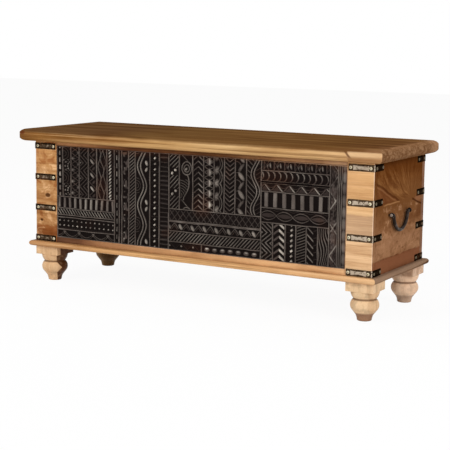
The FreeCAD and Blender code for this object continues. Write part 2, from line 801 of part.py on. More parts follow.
def sunk_strip(label, upright, x_span, z_span):
    """What is carved away in one strip: the space over its ground, less the figures that stand there."""
    inset = size("carving_rib_width") / 2
    x_span, z_span = [(low + inset, high - inset) for low, high in (x_span, z_span)]
    space = board(f"{label}_space", x_span, (-CHEST_FACE - OVERRUN, CARVING_GROUND), z_span)
    if label not in CARVED_FIGURE_SHARES:
        return space
    kind, share = CARVED_FIGURE_SHARES[label]
    length_span, width_span = (z_span, x_span) if upright else (x_span, z_span)
    figures = CARVED_FIGURES[kind](f"{label}_{kind}", upright, length_span, width_span, share)
    if len(figures) > 1:
        figures = [fuse(f"{label}_figures", figures)]
    return cut(label, space, figures)


def carved_block(label, x_span, y_span, z_span):
    """A block with its strips sunk between the ribs along their seams."""
    spaces = []
    for way, edge_shares, seam_shares in CARVED_FIELD_SHARES[label]:
        field = spans(*z_span, edge_shares)[0]
        upright = way == "upright"
        for number, strip in enumerate(spans(*(x_span if upright else field), seam_shares), 1):
            ends = (strip, field) if upright else (x_span, strip)
            spaces.append(sunk_strip(f"{label}_{way}_{number}", upright, *ends))
    return cut(label, board(f"{label}_blank", x_span, y_span, z_span), spaces)


# Chest walls and floor

def make_front(holes, screw_holes):
    """Stiles and rails that frame the carved blocks, with a plain board behind them all."""
    y_span = (-CHEST_FACE, FRAME_BACK)
    for name, side in SIDES.items():
        edges = (CHEST_END * side, STILE_INSIDE * side)
        x_span = edges if side < 0 else edges[::-1]
        blank = board(f"front_stile_{name}_blank", x_span, y_span, (CHEST_BOTTOM, CHEST_TOP))
        nodes.append(cut(f"front_stile_{name}", blank, [holes[f"front_{name}"]]))
    between = (-STILE_INSIDE, STILE_INSIDE)
    rail_top = CHEST_BOTTOM + size("bottom_rail_height")
    rail_bottom = CHEST_TOP - size("top_rail_height")
    rail = board("front_rail_bottom_blank", between, y_span, (CHEST_BOTTOM, rail_top))
    nodes.append(cut("front_rail_bottom", rail, [screw_holes]))
    nodes.append(board("front_rail_top", between, y_span, (rail_bottom, CHEST_TOP)))
    set_back = (size("carving_setback") - CHEST_FACE, FRAME_BACK)
    for label, x_span in zip(CARVED_NAMES, spans(-STILE_INSIDE, STILE_INSIDE, CARVED_SEAM_SHARES)):
        nodes.append(carved_block(label, x_span, set_back, (rail_top, rail_bottom)))
    nodes.append(board("front_backing_board", (-SIDE_INSIDE, SIDE_INSIDE), (FRAME_BACK, BACKING_BACK),
                       (CHEST_BOTTOM, CHEST_TOP)))


def make_sides(holes, eye_holes, screw_holes):
    """A narrow lower board and a broad upper board at each end."""
    for name, side in SIDES.items():
        edges = (CHEST_END * side, SIDE_INSIDE * side)
        x_span = edges if side < 0 else edges[::-1]
        y_span = (FRAME_BACK, BACK_INSIDE)
        tools = [holes[f"front_{name}"], holes[f"back_{name}"]]
        lower = board(f"side_board_{name}_lower_blank", x_span, y_span, (CHEST_BOTTOM, SIDE_SEAM))
        upper = board(f"side_board_{name}_upper_blank", x_span, y_span, (SIDE_SEAM, CHEST_TOP))
        nodes.append(cut(f"side_board_{name}_lower", lower, tools + [screw_holes]))
        nodes.append(cut(f"side_board_{name}_upper", upper, tools + [eye_holes[name]]))


def make_back(holes, hinge_holes, screw_holes):
    """Three boards over the full length of the back. The top one carries the hinges."""
    tools = [holes["back_left"], holes["back_right"]]
    for label, z_span in zip(BACK_NAMES, spans(CHEST_BOTTOM, CHEST_TOP, BACK_SEAM_SHARES)):
        blank = board(f"{label}_blank", (-CHEST_END, CHEST_END), (BACK_INSIDE, CHEST_FACE), z_span)
        extra = {BACK_NAMES[0]: [screw_holes], BACK_NAMES[-1]: hinge_holes}.get(label, [])
        nodes.append(cut(label, blank, tools + extra))


def make_floor_and_glue_blocks():
    """Floor boards on the plinth, and a square block glued up each inner corner."""
    for label, y_span in zip(FLOOR_NAMES, spans(BACKING_BACK, BACK_INSIDE, FLOOR_SEAM_SHARES)):
        nodes.append(board(label, (-SIDE_INSIDE, SIDE_INSIDE), y_span, (CHEST_BOTTOM, FLOOR_TOP)))
    block = size("glue_block_width")
    z_span = (FLOOR_TOP, CHEST_TOP - size("top_rail_height"))
    for corner, (x_sign, y_sign) in CORNERS.items():
        x_span = (SIDE_INSIDE - block, SIDE_INSIDE) if x_sign > 0 else (-SIDE_INSIDE, block - SIDE_INSIDE)
        y_span = (BACK_INSIDE - block, BACK_INSIDE) if y_sign > 0 else (BACKING_BACK, BACKING_BACK + block)
        nodes.append(board(f"glue_block_{corner}", x_span, y_span, z_span))


# Plinth and feet

def make_plinth_board(label, x_direction, half_length, half_depth, tools):
    """One mitred board of the plinth frame with a half-round nose on its outer edge."""
    thick = size("plinth_thickness")
    nose = thick / 2
    width = size("plinth_board_width")
    across, along = (half_depth, half_length) if x_direction == 0 else (half_length, half_depth)
    side = -1 if label in ("plinth_front", "plinth_left") else 1
    tip = side * across
    inner = side * (across - width)
    flat = side * (across - nose)
    section = [
        (inner, ZERO),
        (flat, ZERO, (nose, side)),
        (tip, nose, (nose, side)),
        (flat, thick),
        (inner, thick),
    ]
    corners = [(-along, tip), (along, tip), (along - width, inner), (width - along, inner)]
    if x_direction == 0:
        prism = extruded(f"{label}_section", "YZ", section, along * 2, (-along, ZERO, PLINTH_BOTTOM))
        mitre = corners
    else:
        prism = extruded(f"{label}_section", "XZ", section, along * 2, (ZERO, along, PLINTH_BOTTOM))
        mitre = [(y, x) for x, y in corners]
    plan = extruded(f"{label}_mitre", "XY", mitre, thick, (ZERO, ZERO, PLINTH_BOTTOM))
    nodes.append(cut(label, common(f"{label}_blank", [prism, plan]), tools))


def make_plinth(tools):
    half_length = CHEST_END + size("plinth_overhang")
    half_depth = CHEST_FACE + size("plinth_overhang")
    for label in ("plinth_front", "plinth_back"):
        make_plinth_board(label, 0, half_length, half_depth, tools)
    for label in ("plinth_left", "plinth_right"):
        make_plinth_board(label, 1, half_length, half_depth, tools)


def foot_centre(corner):
    """A foot stands under the chest's corner, all four a little to the right."""
    x_sign, y_sign = corner
    inset = size("foot_inset")
    return (x_sign * (CHEST_END - inset) + size("feet_set_to_right"), y_sign * (CHEST_FACE - inset))


def round_out(step, rise):
    """Radius of an arc that steps out by a width over a rise and ends upright."""
    return (step * step + rise * rise) / (step * 2)


def foot_profile():
    """The turned part from the floor up: cup, bulb, neck and ring."""
    base = size("foot_base_radius")
    rounding = size("foot_base_rounding")
    neck = size("foot_neck_radius")
    ring = size("foot_ring_radius")
    bulb = size("foot_bulb_radius")
    ring_top = PLINTH_BOTTOM - size("foot_block_height")
    neck_top = ring_top - size("foot_ring_height")
    neck_low = neck_top - size("foot_neck_height")
    cup_top = neck_low - size("foot_bulb_height")
    cup = size("foot_cup_radius")
    bulb_middle = neck_low - size("foot_bulb_height") * BULB_WIDEST_SHARE
    out_share, up_share = BULB_SHOULDER_SHARES
    shoulder = cup + (bulb - cup) * out_share
    shoulder_z = cup_top + (bulb_middle - cup_top) * up_share
    return [
        (ZERO, ZERO),
        (base - rounding, ZERO, (rounding, 1)),
        (base, rounding, (size("foot_cup_curve_radius"), -1)),
        (cup, cup_top),
        (shoulder, shoulder_z, (round_out(bulb - shoulder, bulb_middle - shoulder_z), 1)),
        (bulb, bulb_middle, (round_out(bulb - neck, neck_low - bulb_middle), 1)),
        (neck, neck_low),
        (neck, neck_top, (round_out(ring - neck, ring_top - neck_top), 1)),
        (ring, ring_top),
        (ZERO, ring_top),
    ]


def make_feet(dowel_holes):
    """Four turned feet with square blocks, bored for their dowels."""
    half = size("foot_block_width") / 2
    square = [(-half, -half), (half, -half), (half, half), (-half, half)]
    for corner, signs in CORNERS.items():
        label = f"foot_{corner}"
        body = add("PartDesign::Body", f"{label}_blank")
        turned(body, "turning", foot_profile())
        pad = padded(body, "block", square, size("foot_block_height"))
        pad.Profile[0].AttachmentOffset = FreeCAD.Placement()
        pad.Profile[0].setExpression("AttachmentOffset.Base.z",
                                     formula_of(PLINTH_BOTTOM - size("foot_block_height")))
        x, y = foot_centre(signs)
        put(body, (x, y, ZERO))
        nodes.append(cut(label, body, [dowel_holes]))


def dowels(label, gap=ZERO):
    """One dowel for each foot, up through the plinth to the chest's floor."""
    pieces = []
    for corner, signs in CORNERS.items():
        x, y = foot_centre(signs)
        bottom = CHEST_BOTTOM - size("dowel_length") - gap
        length = size("dowel_length") + gap
        pieces.append(rod(f"{label}_{corner}", size("dowel_radius") + gap, length, (x, y, bottom)))
    return compound(label, pieces)


def plinth_screw_places():
    """Screws from under the plinth into the middle of the chest's walls."""
    front = -CHEST_FACE + size("frame_thickness") / 2
    back = CHEST_FACE - size("back_thickness") / 2
    end = CHEST_END - size("side_thickness") / 2
    along = CHEST_END - size("plinth_screw_from_chest_end")
    places = [(x * along, y, PLINTH_BOTTOM) for x in (-1, 1) for y in (front, back)]
    return places + [(side * end, ZERO, PLINTH_BOTTOM) for side in (-1, 1)]


# Drop handles

def make_bail(label, side):
    """A round bar bent to a U, with its ends turned out through the eyes and spread into buttons."""
    wide = size("handle_half_width")
    drop = size("handle_drop")
    bend = size("handle_bend_radius")
    reach = (wide * wide + drop * drop) / (drop * 2)
    knee_y = wide - wide * bend / reach
    knee_z = -(bend * drop / reach)
    body = add("PartDesign::Body", f"{label}_bar")
    path = [
        (-wide, ZERO, (bend, -1)),
        (-knee_y, knee_z, (reach - bend, 1)),
        (knee_y, knee_z, (bend, -1)),
        (wide, ZERO),
    ]
    spine = body_sketch(body, "path", "YZ", path, closed=False)
    section = body_sketch(body, "section", "XZ", [], closed=False)
    section.setExpression("AttachmentOffset.Base.z", formula_of(wide))
    rod_radius = size("handle_rod_radius")
    ring = section.addGeometry(Part.Circle(FreeCAD.Vector(), FreeCAD.Vector(0, 0, 1), rod_radius.value))
    section.addConstraint(Sketcher.Constraint("Coincident", ring, 3, -1, 1))
    rule = section.addConstraint(Sketcher.Constraint("Radius", ring, rod_radius.value))
    section.setExpression(f"Constraints[{rule}]", formula_of(rod_radius))
    pipe = body.newObject("PartDesign::AdditivePipe", f"{label}_pipe")
    pipe.Profile = section
    pipe.Spine = (spine, [f"Edge{number}" for number in range(1, len(path))])
    pivot_x = side * (CHEST_END + size("handle_standoff"))
    put(body, (pivot_x, HANDLE_MIDDLE, size("handle_height")))
    stub = size("handle_stub_length")
    button = size("handle_button_length")
    root = rod_radius / 2
    pieces = [body]
    ends = (("front", -wide - stub, -wide - stub), ("back", wide - root, wide + stub - button))
    for name, start, tip in ends:
        bar = rod(f"{label}_{name}_stub", size("handle_stub_radius"), stub + root,
                  (pivot_x, HANDLE_MIDDLE + start, size("handle_height")), TURN_TO_Y)
        end = rod(f"{label}_{name}_button", size("handle_button_radius"), button,
                  (pivot_x, HANDLE_MIDDLE + tip, size("handle_height")), TURN_TO_Y)
        pieces += [bar, end]
    nodes.append(fuse(label, pieces))


def make_eyes(label, side):
    """Two screw eyes that carry one bail."""
    wire = size("eye_wire_radius")
    ring_radius = size("handle_stub_radius") + LOOSE_GAP + wire
    centre_x = side * (CHEST_END + size("handle_standoff"))
    eyes = []
    for end in (-1, 1):
        y = HANDLE_MIDDLE + end * size("eye_from_middle")
        ring = add("Part::Torus", f"{label}_ring_{end + 1}")
        ring.setExpression("Radius1", formula_of(ring_radius))
        ring.setExpression("Radius2", formula_of(wire))
        put(ring, (centre_x, y, size("handle_height")), TURN_TO_Y)
        inner_x = side * (CHEST_END - size("eye_shank_depth"))
        outer_x = centre_x - side * ring_radius
        start_x = inner_x if side > 0 else outer_x
        length = (outer_x - inner_x) * side
        shank = rod(f"{label}_shank_{end + 1}", size("eye_shank_radius"), length,
                    (start_x, y, size("handle_height")), TURN_TO_X)
        eyes.append(fuse(f"{label}_{end + 1}", [ring, shank]))
    nodes.append(compound(label, eyes))


def eye_holes(label, side):
    """The holes in an end's upper board for the shanks of its eyes."""
    depth = size("eye_shank_depth") + RUNNING_GAP
    holes = []
    for end in (-1, 1):
        start_x = (CHEST_END - depth) if side > 0 else -(CHEST_END + OVERRUN)
        place = (start_x, HANDLE_MIDDLE + end * size("eye_from_middle"), size("handle_height"))
        holes.append(rod(f"{label}_{end + 1}", size("eye_shank_radius") + RUNNING_GAP, depth + OVERRUN,
                         place, TURN_TO_X))
    return compound(label, holes)


nodes = []

small_screw = screw("small_screw", "small")
small_hole = screw("small_screw_hole", "small", RUNNING_GAP, OVERRUN)
large_screw = screw("large_screw", "large")
large_hole = screw("large_screw_hole", "large", RUNNING_GAP, OVERRUN)

corner_nail_holes = {corner: nail_holes(f"nail_holes_{corner}", signs) for corner, signs in CORNERS.items()}
batten_holes = make_screws("batten_screw_holes", large_hole, batten_screw_places(), UPSIDE_DOWN)
plinth_holes = make_screws("plinth_screw_holes", large_hole, plinth_screw_places(), UPSIDE_DOWN)
dowel_holes = dowels("dowel_holes", RUNNING_GAP)
side_eye_holes = {name: eye_holes(f"eye_holes_{name}", side) for name, side in SIDES.items()}

chest_recesses = []
lid_recesses = []
chest_leaf_screws = []
lid_leaf_screws = []
for name, side in SIDES.items():
    nodes.append(make_leaf(f"hinge_{name}_chest_leaf", side, False, small_hole))
    nodes.append(make_leaf(f"hinge_{name}_lid_leaf", side, True, small_hole))
    chest_recesses += hinge_recess(f"hinge_{name}_chest_recess", side, False)
    lid_recesses += hinge_recess(f"hinge_{name}_lid_recess", side, True)
    chest_leaf_screws += hinge_screw_places(side, leaf_heights(False)[1])
    lid_leaf_screws += hinge_screw_places(side, leaf_heights(True)[0])
chest_recesses.append(make_screws("hinge_chest_screw_holes", small_hole, chest_leaf_screws))
lid_recesses.append(make_screws("hinge_lid_screw_holes", small_hole, lid_leaf_screws, UPSIDE_DOWN))
nodes.append(make_screws("hinge_chest_screws", small_screw, chest_leaf_screws))
nodes.append(make_screws("hinge_lid_screws", small_screw, lid_leaf_screws, UPSIDE_DOWN))
nodes.append(compound("hinge_pins", [
    rod(f"hinge_{name}_pin", size("pin_radius"), size("hinge_length"),
        (hinge_span(side)[0], HINGE_Y, HINGE_Z), TURN_TO_X)
    for name, side in SIDES.items()
]))

make_lid_boards(batten_holes, lid_recesses)
make_battens(batten_holes)
nodes.append(make_screws("lid_batten_screws", large_screw, batten_screw_places(), UPSIDE_DOWN))

make_front(corner_nail_holes, plinth_holes)
make_sides(corner_nail_holes, side_eye_holes, plinth_holes)
make_back(corner_nail_holes, chest_recesses, plinth_holes)
make_floor_and_glue_blocks()

make_plinth([dowel_holes, plinth_holes])
make_feet(dowel_holes)
nodes.append(dowels("foot_dowels"))
nodes.append(make_screws("plinth_screws", large_screw, plinth_screw_places(), UPSIDE_DOWN))

make_straps(make_strap("strap"))
nail = make_nail("nail")
nail_spots = []
for signs in CORNERS.values():
    for place, looks in nail_places(signs):
        outward = FreeCAD.Rotation(FreeCAD.Vector(0, 0, 1), FreeCAD.Vector(*looks))
        nail_spots.append(FreeCAD.Placement(vector_of(place), outward))
nodes.append(copies("strap_nails", nail, nail_spots))

for name, side in SIDES.items():
    make_eyes(f"handle_eyes_{name}", side)
    make_bail(f"handle_bail_{name}", side)

for node in nodes:
    from_chest_middle = placed_along_x.get(node.Name, ZERO)
    node.setExpression("Placement.Base.x", formula_of(from_chest_middle - LID_MIDDLE))

doc.recompute()
for thing in doc.Objects:
    if "Invalid" in thing.State or "Error" in thing.State:
        raise RuntimeError(f"{thing.Label} did not build: {thing.State}")
for node in nodes:
    if node.Shape.isNull() or not node.Shape.isValid() or not node.Shape.Solids:
        raise RuntimeError(f"{node.Label} has no valid solid")
for node in nodes:
    node.Shape.exportStep(f"parts/{node.Label}.step")
    print(node.Label, len(node.Shape.Solids), round(node.Shape.Volume))
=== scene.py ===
import math

import bpy
import numpy as np
from mathutils import Matrix, Vector

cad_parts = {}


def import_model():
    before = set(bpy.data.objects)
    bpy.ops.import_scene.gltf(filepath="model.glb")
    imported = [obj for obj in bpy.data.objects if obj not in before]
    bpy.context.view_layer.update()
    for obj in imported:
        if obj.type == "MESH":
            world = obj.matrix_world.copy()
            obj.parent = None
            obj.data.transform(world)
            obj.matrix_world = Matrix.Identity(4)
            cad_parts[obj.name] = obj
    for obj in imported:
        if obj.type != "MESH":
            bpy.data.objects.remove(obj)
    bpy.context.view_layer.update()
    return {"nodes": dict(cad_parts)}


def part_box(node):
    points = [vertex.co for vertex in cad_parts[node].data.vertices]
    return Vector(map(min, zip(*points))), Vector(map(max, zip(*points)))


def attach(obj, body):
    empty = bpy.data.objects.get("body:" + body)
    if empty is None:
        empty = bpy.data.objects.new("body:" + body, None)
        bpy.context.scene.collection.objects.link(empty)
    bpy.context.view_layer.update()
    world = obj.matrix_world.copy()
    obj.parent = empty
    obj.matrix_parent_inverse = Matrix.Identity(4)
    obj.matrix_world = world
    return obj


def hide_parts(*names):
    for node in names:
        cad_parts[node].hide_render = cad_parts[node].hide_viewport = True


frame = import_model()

# Wooden storage trunk. Lengths are millimetres in the CAD frame, but metres for the floor and the lamps.
MM = 0.001
CHEST_X = 5.5
CHEST_END, CHEST_FACE = 547.5, 176.0
nodes = frame["nodes"]


# Colours and shader graphs

MIDDLE_SHADE = (0.87, 0.855, 0.84, 1)


def srgb(red, green, blue):
    """A linear colour from the 0-255 values that it has on a screen."""
    def linear(value):
        value /= 255
        return value / 12.92 if value <= 0.04045 else ((value + 0.055) / 1.055) ** 2.4
    return (linear(red), linear(green), linear(blue), 1.0)


def painted(red, green, blue):
    """The tone that gives a screen colour from 0 to 255 at the middle shade of the wood."""
    return tuple(channel / shade for channel, shade in zip(srgb(red, green, blue)[:3], MIDDLE_SHADE)) + (1.0,)


class Wire:
    """A number or vector in a shader graph. Sums and products of wires add the nodes that work them out."""

    def __init__(self, graph, socket):
        self.graph = graph
        self.socket = socket

    def math(self, kind, other=0.0):
        return self.graph.node("Math", {0: self, 1: other}, operation=kind)

    def __add__(self, other):
        return self.math("ADD", other)

    __radd__ = __add__

    def __sub__(self, other):
        return self.math("SUBTRACT", other)

    def __rsub__(self, other):
        return (self * -1.0) + other

    def __mul__(self, other):
        return self.math("MULTIPLY", other)

    def __abs__(self):
        return self.math("ABSOLUTE")

    def power(self, exponent):
        return self.math("POWER", exponent)

    def least(self, other):
        return self.math("MINIMUM", other)

    def most(self, other):
        return self.math("MAXIMUM", other)

    def ramp(self, low, high):
        """0 below low and 1 above high, with a smooth step between. High may be the lower number."""
        if low > high:
            return 1.0 - self.ramp(high, low)
        inputs = {"Value": self, "From Min": low, "From Max": high}
        return self.graph.node("MapRange", inputs, interpolation_type="SMOOTHSTEP")


class Graph:
    """The node tree of one material, with its Principled shader."""

    def __init__(self, name):
        self.material = bpy.data.materials.new(name)
        self.material.use_nodes = True
        self.tree = self.material.node_tree
        self.shader = self.tree.nodes["Principled BSDF"]
        self.place = self.node("TexCoord", {}, output="Object")

    def put(self, socket, value):
        if isinstance(value, Wire):
            self.tree.links.new(value.socket, socket)
        else:
            socket.default_value = value

    def node(self, kind, inputs, output=0, **settings):
        made = self.tree.nodes.new(f"ShaderNode{kind}")
        for key, value in settings.items():
            setattr(made, key, value)
        for key, value in inputs.items():
            self.put(made.inputs[key], value)
        return Wire(self, made.outputs[output])

    def stretched(self, scale, offset=(0.0, 0.0, 0.0)):
        """The place on the object, in metres, times a scale for each axis."""
        return self.node("Mapping", {"Vector": self.place, "Scale": scale, "Location": offset})

    def noise_at(self, vector, detail=2.0, rough=0.5, twist=0.0):
        inputs = {"Vector": vector, "Scale": 1.0, "Detail": detail, "Roughness": rough, "Distortion": twist}
        return self.node("TexNoise", inputs)

    def noise(self, scale, offset=(0.0, 0.0, 0.0), **kind):
        """Soft noise from 0 to 1. Scale is in bumps per metre, one number for each axis."""
        scale = scale if isinstance(scale, tuple) else (scale,) * 3
        return self.noise_at(self.stretched(scale, offset), **kind)

    def axis(self, letter, sign=1):
        """One coordinate of the place on the object, in millimetres, or its opposite for a sign of -1."""
        return self.node("SeparateXYZ", {0: self.place}, output="XYZ".index(letter)) * (1000.0 * sign)

    def axes(self, letters):
        return [self.axis(letter) for letter in letters]

    def join(self, x, y, z=0.0):
        """A vector of three numbers."""
        return self.node("CombineXYZ", {0: x, 1: y, 2: z})

    def length(self, vector):
        return self.node("VectorMath", {0: vector}, output="Value", operation="LENGTH")

    def distance(self, centre, radii):
        """The distance from a centre, where 1 is the surface of an ellipsoid with these radii."""
        scale = tuple(1 / (radius * MM) for radius in radii)
        return self.length(self.stretched(scale, tuple(-c / radius for c, radius in zip(centre, radii))))

    def attribute(self, name):
        return self.node("Attribute", {}, output="Fac", attribute_name=name)

    def mix(self, share, first, second, blend="MIX"):
        """Two colours mixed. A share of 1 gives the second."""
        inputs = {0: share, 6: first, 7: second}
        return self.node("Mix", inputs, output=2, data_type="RGBA", blend_type=blend)

    def tinted(self, share, colour, tint):
        """A colour multiplied by a tint, to a share."""
        return self.mix(share, colour, self.mix(1.0, colour, tint, "MULTIPLY"))

    def over(self, colour, *layers):
        """Tones laid over a colour one after another: pairs of a share and a colour from 0 to 255."""
        for share, tone in layers:
            colour = self.mix(share, colour, painted(*tone))
        return colour

    def colours(self, value, stops):
        """A colour ramp: pairs of a share and a colour."""
        ramp = self.tree.nodes.new("ShaderNodeValToRGB")
        elements = ramp.color_ramp.elements
        while len(elements) < len(stops):
            elements.new(1.0)
        for element, (share, colour) in zip(elements, stops):
            element.position = share
            element.color = colour
        self.put(ramp.inputs[0], value)
        return Wire(self, ramp.outputs[0])

    def finish(self, colour, roughness, height, depth, **plain):
        """Links the colour, roughness and bump. Depth is the height of the bump in millimetres."""
        self.put(self.shader.inputs["Base Color"], colour)
        self.put(self.shader.inputs["Roughness"], roughness)
        for key, value in plain.items():
            self.shader.inputs[key.replace("_", " ")].default_value = value
        bump = self.node("Bump", {"Height": height, "Distance": depth * MM, "Strength": 1.0}, output="Normal")
        self.put(self.shader.inputs["Normal"], bump)
        return self.material


# Wood

YEAR_RINGS = 6.0
# What the grain makes of a tone, from a dark streak to a pale one
SHADES = [(0.0, (0.42, 0.32, 0.25, 1)), (0.3, (0.66, 0.58, 0.51, 1)), (0.62, MIDDLE_SHADE),
          (1.0, (1.0, 1.0, 1.0, 1))]
PORE_TINT, KNOT_TINT, GRIME_TINT = (0.5, 0.42, 0.36, 1), (0.16, 0.1, 0.07, 1), (0.3, 0.22, 0.17, 1)


def grain_scale(axis, along, across):
    """Bumps per metre along one axis and across it."""
    return tuple(along if letter == axis else across for letter in "XYZ")


def wood(name, tone, axis="X", seed=0.0, contrast=1.0, ring_share=0.3, blotch=0.5, fibre=0.45, knots=(),
         gloss=0.42, dirt=0.55, shine=0.06):
    """Planed wood: broad streaks, year rings that bend round knots, fibres and pores along one axis. The tone
    is a colour, or a function of the graph that gives one."""
    graph = Graph(name)
    offset = (seed, seed * 0.7 + 3.1, seed * 1.3 + 1.7)

    def grain(along_grain, across_grain, **kind):
        return graph.noise(grain_scale(axis, along_grain, across_grain), offset, **kind)

    broad = grain(3.0, 30.0, detail=3.0, twist=0.4)
    rings = grain(1.6, 13.0, detail=1.5, twist=0.25) * YEAR_RINGS
    patches = graph.noise(9.0, offset, detail=4.0)
    streaks = grain(7.0, 130.0, detail=4.0, rough=0.65, twist=0.4)
    fibres = grain(22.0, 800.0)
    pores = grain(70.0, 1300.0, detail=1.0)
    halo = None
    for centre, radii in knots:
        distance = graph.distance(centre, radii)
        rings = rings + distance.ramp(3.4, 0.4) * 0.4
        core = distance.ramp(1.35, 0.75)
        halo = halo.most(core) if halo else core
    lines = (rings.math("PINGPONG", 0.5) * 2.0).ramp(0.3, 0.95)
    value = 0.62 + (broad - 0.5) * 1.1 * contrast - (lines - 0.35) * ring_share * contrast
    value = value + (patches - 0.5) * blotch * contrast + (fibres - 0.5) * fibre
    value = value + (streaks - 0.5) * 0.7 * contrast
    colour = tone(graph) if callable(tone) else graph.colours(value, [(0.0, tone), (1.0, tone)])
    colour = graph.mix(1.0, colour, graph.colours(value, SHADES), "MULTIPLY")
    darker = pores.ramp(0.38, 0.25)
    colour = graph.tinted(darker * 0.3, colour, PORE_TINT)
    if halo:
        colour = graph.tinted(halo * 0.93, colour, KNOT_TINT)
    grime = graph.attribute("edge") * graph.noise(45.0, offset, detail=3.0).ramp(0.3, 0.62)
    colour = graph.tinted(grime * dirt, colour, GRIME_TINT)
    roughness = gloss + (fibres - 0.5) * 0.12 + (patches - 0.5) * 0.15
    height = fibres * 0.4 + lines * 0.3 - darker * 0.6 + broad * 0.3
    return graph.finish(colour, roughness, height, depth=0.1, Specular_IOR_Level=shine)


def along(graph, letter, stops, wobble=0.0, wave=18.0, seed=0.0):
    """A colour that changes along one axis: pairs of a place in millimetres and a colour from 0 to 255."""
    place = graph.axis(letter)
    if wobble:
        place = place + (graph.noise(wave, (seed, 4.0, 9.0)) - 0.5) * wobble
    low, high = stops[0][0], stops[-1][0]
    share = (place - low) * (1.0 / (high - low))
    return graph.colours(share, [((spot - low) / (high - low), painted(*colour)) for spot, colour in stops])


# Camera, floor and light

FRAME_WIDTH = 450
FOCAL_LENGTH, MIDDLE_SHIFT = 1270.39, -0.1
CAMERA_CENTRE = (1833.1, -3170.1, 751.8)
CAMERA_TURNS = (29.876, 8.696, 0.696)
SENSOR_WIDTH = 36
FLOOR_HALF, FLOOR_GLOW = 12.0, 0.94
WORLD_LIGHT = 0.42
LAMP_AIM = (0, 0, 0.25)


def camera():
    """The photo's view. The camera's turns are in degrees, its focal length and shift in pixels."""
    yaw, pitch, roll = (math.radians(turn) for turn in CAMERA_TURNS)
    forward = Vector((-math.sin(yaw) * math.cos(pitch), math.cos(yaw) * math.cos(pitch), -math.sin(pitch)))
    level = Vector((math.cos(yaw), math.sin(yaw), 0))
    upward = level.cross(forward)
    right = level * math.cos(roll) + upward * math.sin(roll)
    up = upward * math.cos(roll) - level * math.sin(roll)
    data = bpy.data.cameras.new("camera")
    data.sensor_width = SENSOR_WIDTH
    data.lens = FOCAL_LENGTH / FRAME_WIDTH * data.sensor_width
    data.shift_x = MIDDLE_SHIFT / FRAME_WIDTH
    data.clip_start, data.clip_end = 0.1, 100
    thing = linked("camera", data)
    turn = Matrix((right, up, -forward)).transposed().to_4x4()
    thing.matrix_world = Matrix.Translation(Vector(CAMERA_CENTRE) * MM) @ turn
    bpy.context.scene.camera = thing


def linked(name, data):
    """A new object in the scene."""
    thing = bpy.data.objects.new(name, data)
    bpy.context.scene.collection.objects.link(thing)
    return thing


def plain_node(tree, kind, **values):
    """A node for the floor or the world, with values on its inputs."""
    made = tree.nodes.new(f"ShaderNode{kind}")
    for key, value in values.items():
        made.inputs[key].default_value = value
    return made


def seen_directly(tree):
    """1 for rays from the camera and for mirror and glass rays."""
    paths = tree.nodes.new("ShaderNodeLightPath")
    total = paths.outputs["Is Camera Ray"]
    for name in ("Is Glossy Ray", "Is Transmission Ray"):
        most = plain_node(tree, "Math")
        most.operation = "MAXIMUM"
        tree.links.new(total, most.inputs[0])
        tree.links.new(paths.outputs[name], most.inputs[1])
        total = most.outputs[0]
    return total


def blend_shaders(tree, share, first, second, output):
    """Two shaders mixed into the output of the floor or the world."""
    mixer = plain_node(tree, "MixShader")
    for number, socket in enumerate((share, first.outputs[0], second.outputs[0])):
        tree.links.new(socket, mixer.inputs[number])
    tree.links.new(mixer.outputs[0], tree.nodes[output].inputs["Surface"])


def floor():
    """A pale floor that takes shadows and glows white for the camera."""
    half = FLOOR_HALF
    mesh = bpy.data.meshes.new("floor")
    corners = [(-half, -half, 0), (half, -half, 0), (half, half, 0), (-half, half, 0)]
    mesh.from_pydata(corners, [], [(0, 1, 2, 3)])
    material = bpy.data.materials.new("floor")
    material.use_nodes = True
    tree = material.node_tree
    shader = tree.nodes["Principled BSDF"]
    for key, value in (("Base Color", (0.9, 0.9, 0.9, 1)), ("Roughness", 0.9), ("Specular IOR Level", 0.0)):
        shader.inputs[key].default_value = value
    glow = plain_node(tree, "Emission", Color=(1, 1, 1, 1), Strength=1.0)
    scaled = plain_node(tree, "Math")
    scaled.operation = "MULTIPLY"
    scaled.inputs[1].default_value = FLOOR_GLOW
    tree.links.new(seen_directly(tree), scaled.inputs[0])
    blend_shaders(tree, scaled.outputs[0], shader, glow, "Material Output")
    mesh.materials.append(material)
    linked("floor", mesh)


def world():
    """Soft light from all round, and plain white where the camera sees past the floor."""
    made = bpy.data.worlds.new("studio")
    bpy.context.scene.world = made
    made.use_nodes = True
    tree = made.node_tree
    soft = tree.nodes["Background"]
    soft.inputs["Color"].default_value = (1, 1, 1, 1)
    soft.inputs["Strength"].default_value = WORLD_LIGHT
    white = plain_node(tree, "Background", Color=(1, 1, 1, 1), Strength=1.0)
    blend_shaders(tree, seen_directly(tree), soft, white, "World Output")


def lamp(name, place, size, watts):
    """A square lamp that looks at the trunk."""
    data = bpy.data.lights.new(name, "AREA")
    data.shape = "SQUARE"
    data.size = size
    data.energy = watts
    thing = linked(name, data)
    thing.location = place
    thing.rotation_euler = (Vector(LAMP_AIM) - Vector(place)).to_track_quat("-Z", "Y").to_euler()


# Meshes

def piece(name, points, faces, body, material, replaced, attributes, smooth=40):
    """A mesh from points in millimetres, on a body, in place of CAD nodes. Edges that turn by more than the
    smooth angle, in degrees, stay sharp."""
    mesh = bpy.data.meshes.new(name)
    mesh.from_pydata((np.asarray(points, float) * MM).tolist(), [], faces)
    mesh.validate()
    for key, values in attributes.items():
        layer = mesh.attributes.new(key, "FLOAT", "POINT")
        layer.data.foreach_set("value", np.asarray(values, np.float32).ravel())
    mesh.shade_smooth()
    mesh.set_sharp_from_angle(angle=math.radians(smooth))
    mesh.materials.append(material)
    thing = linked(name, mesh)
    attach(thing, body)
    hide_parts(*replaced)


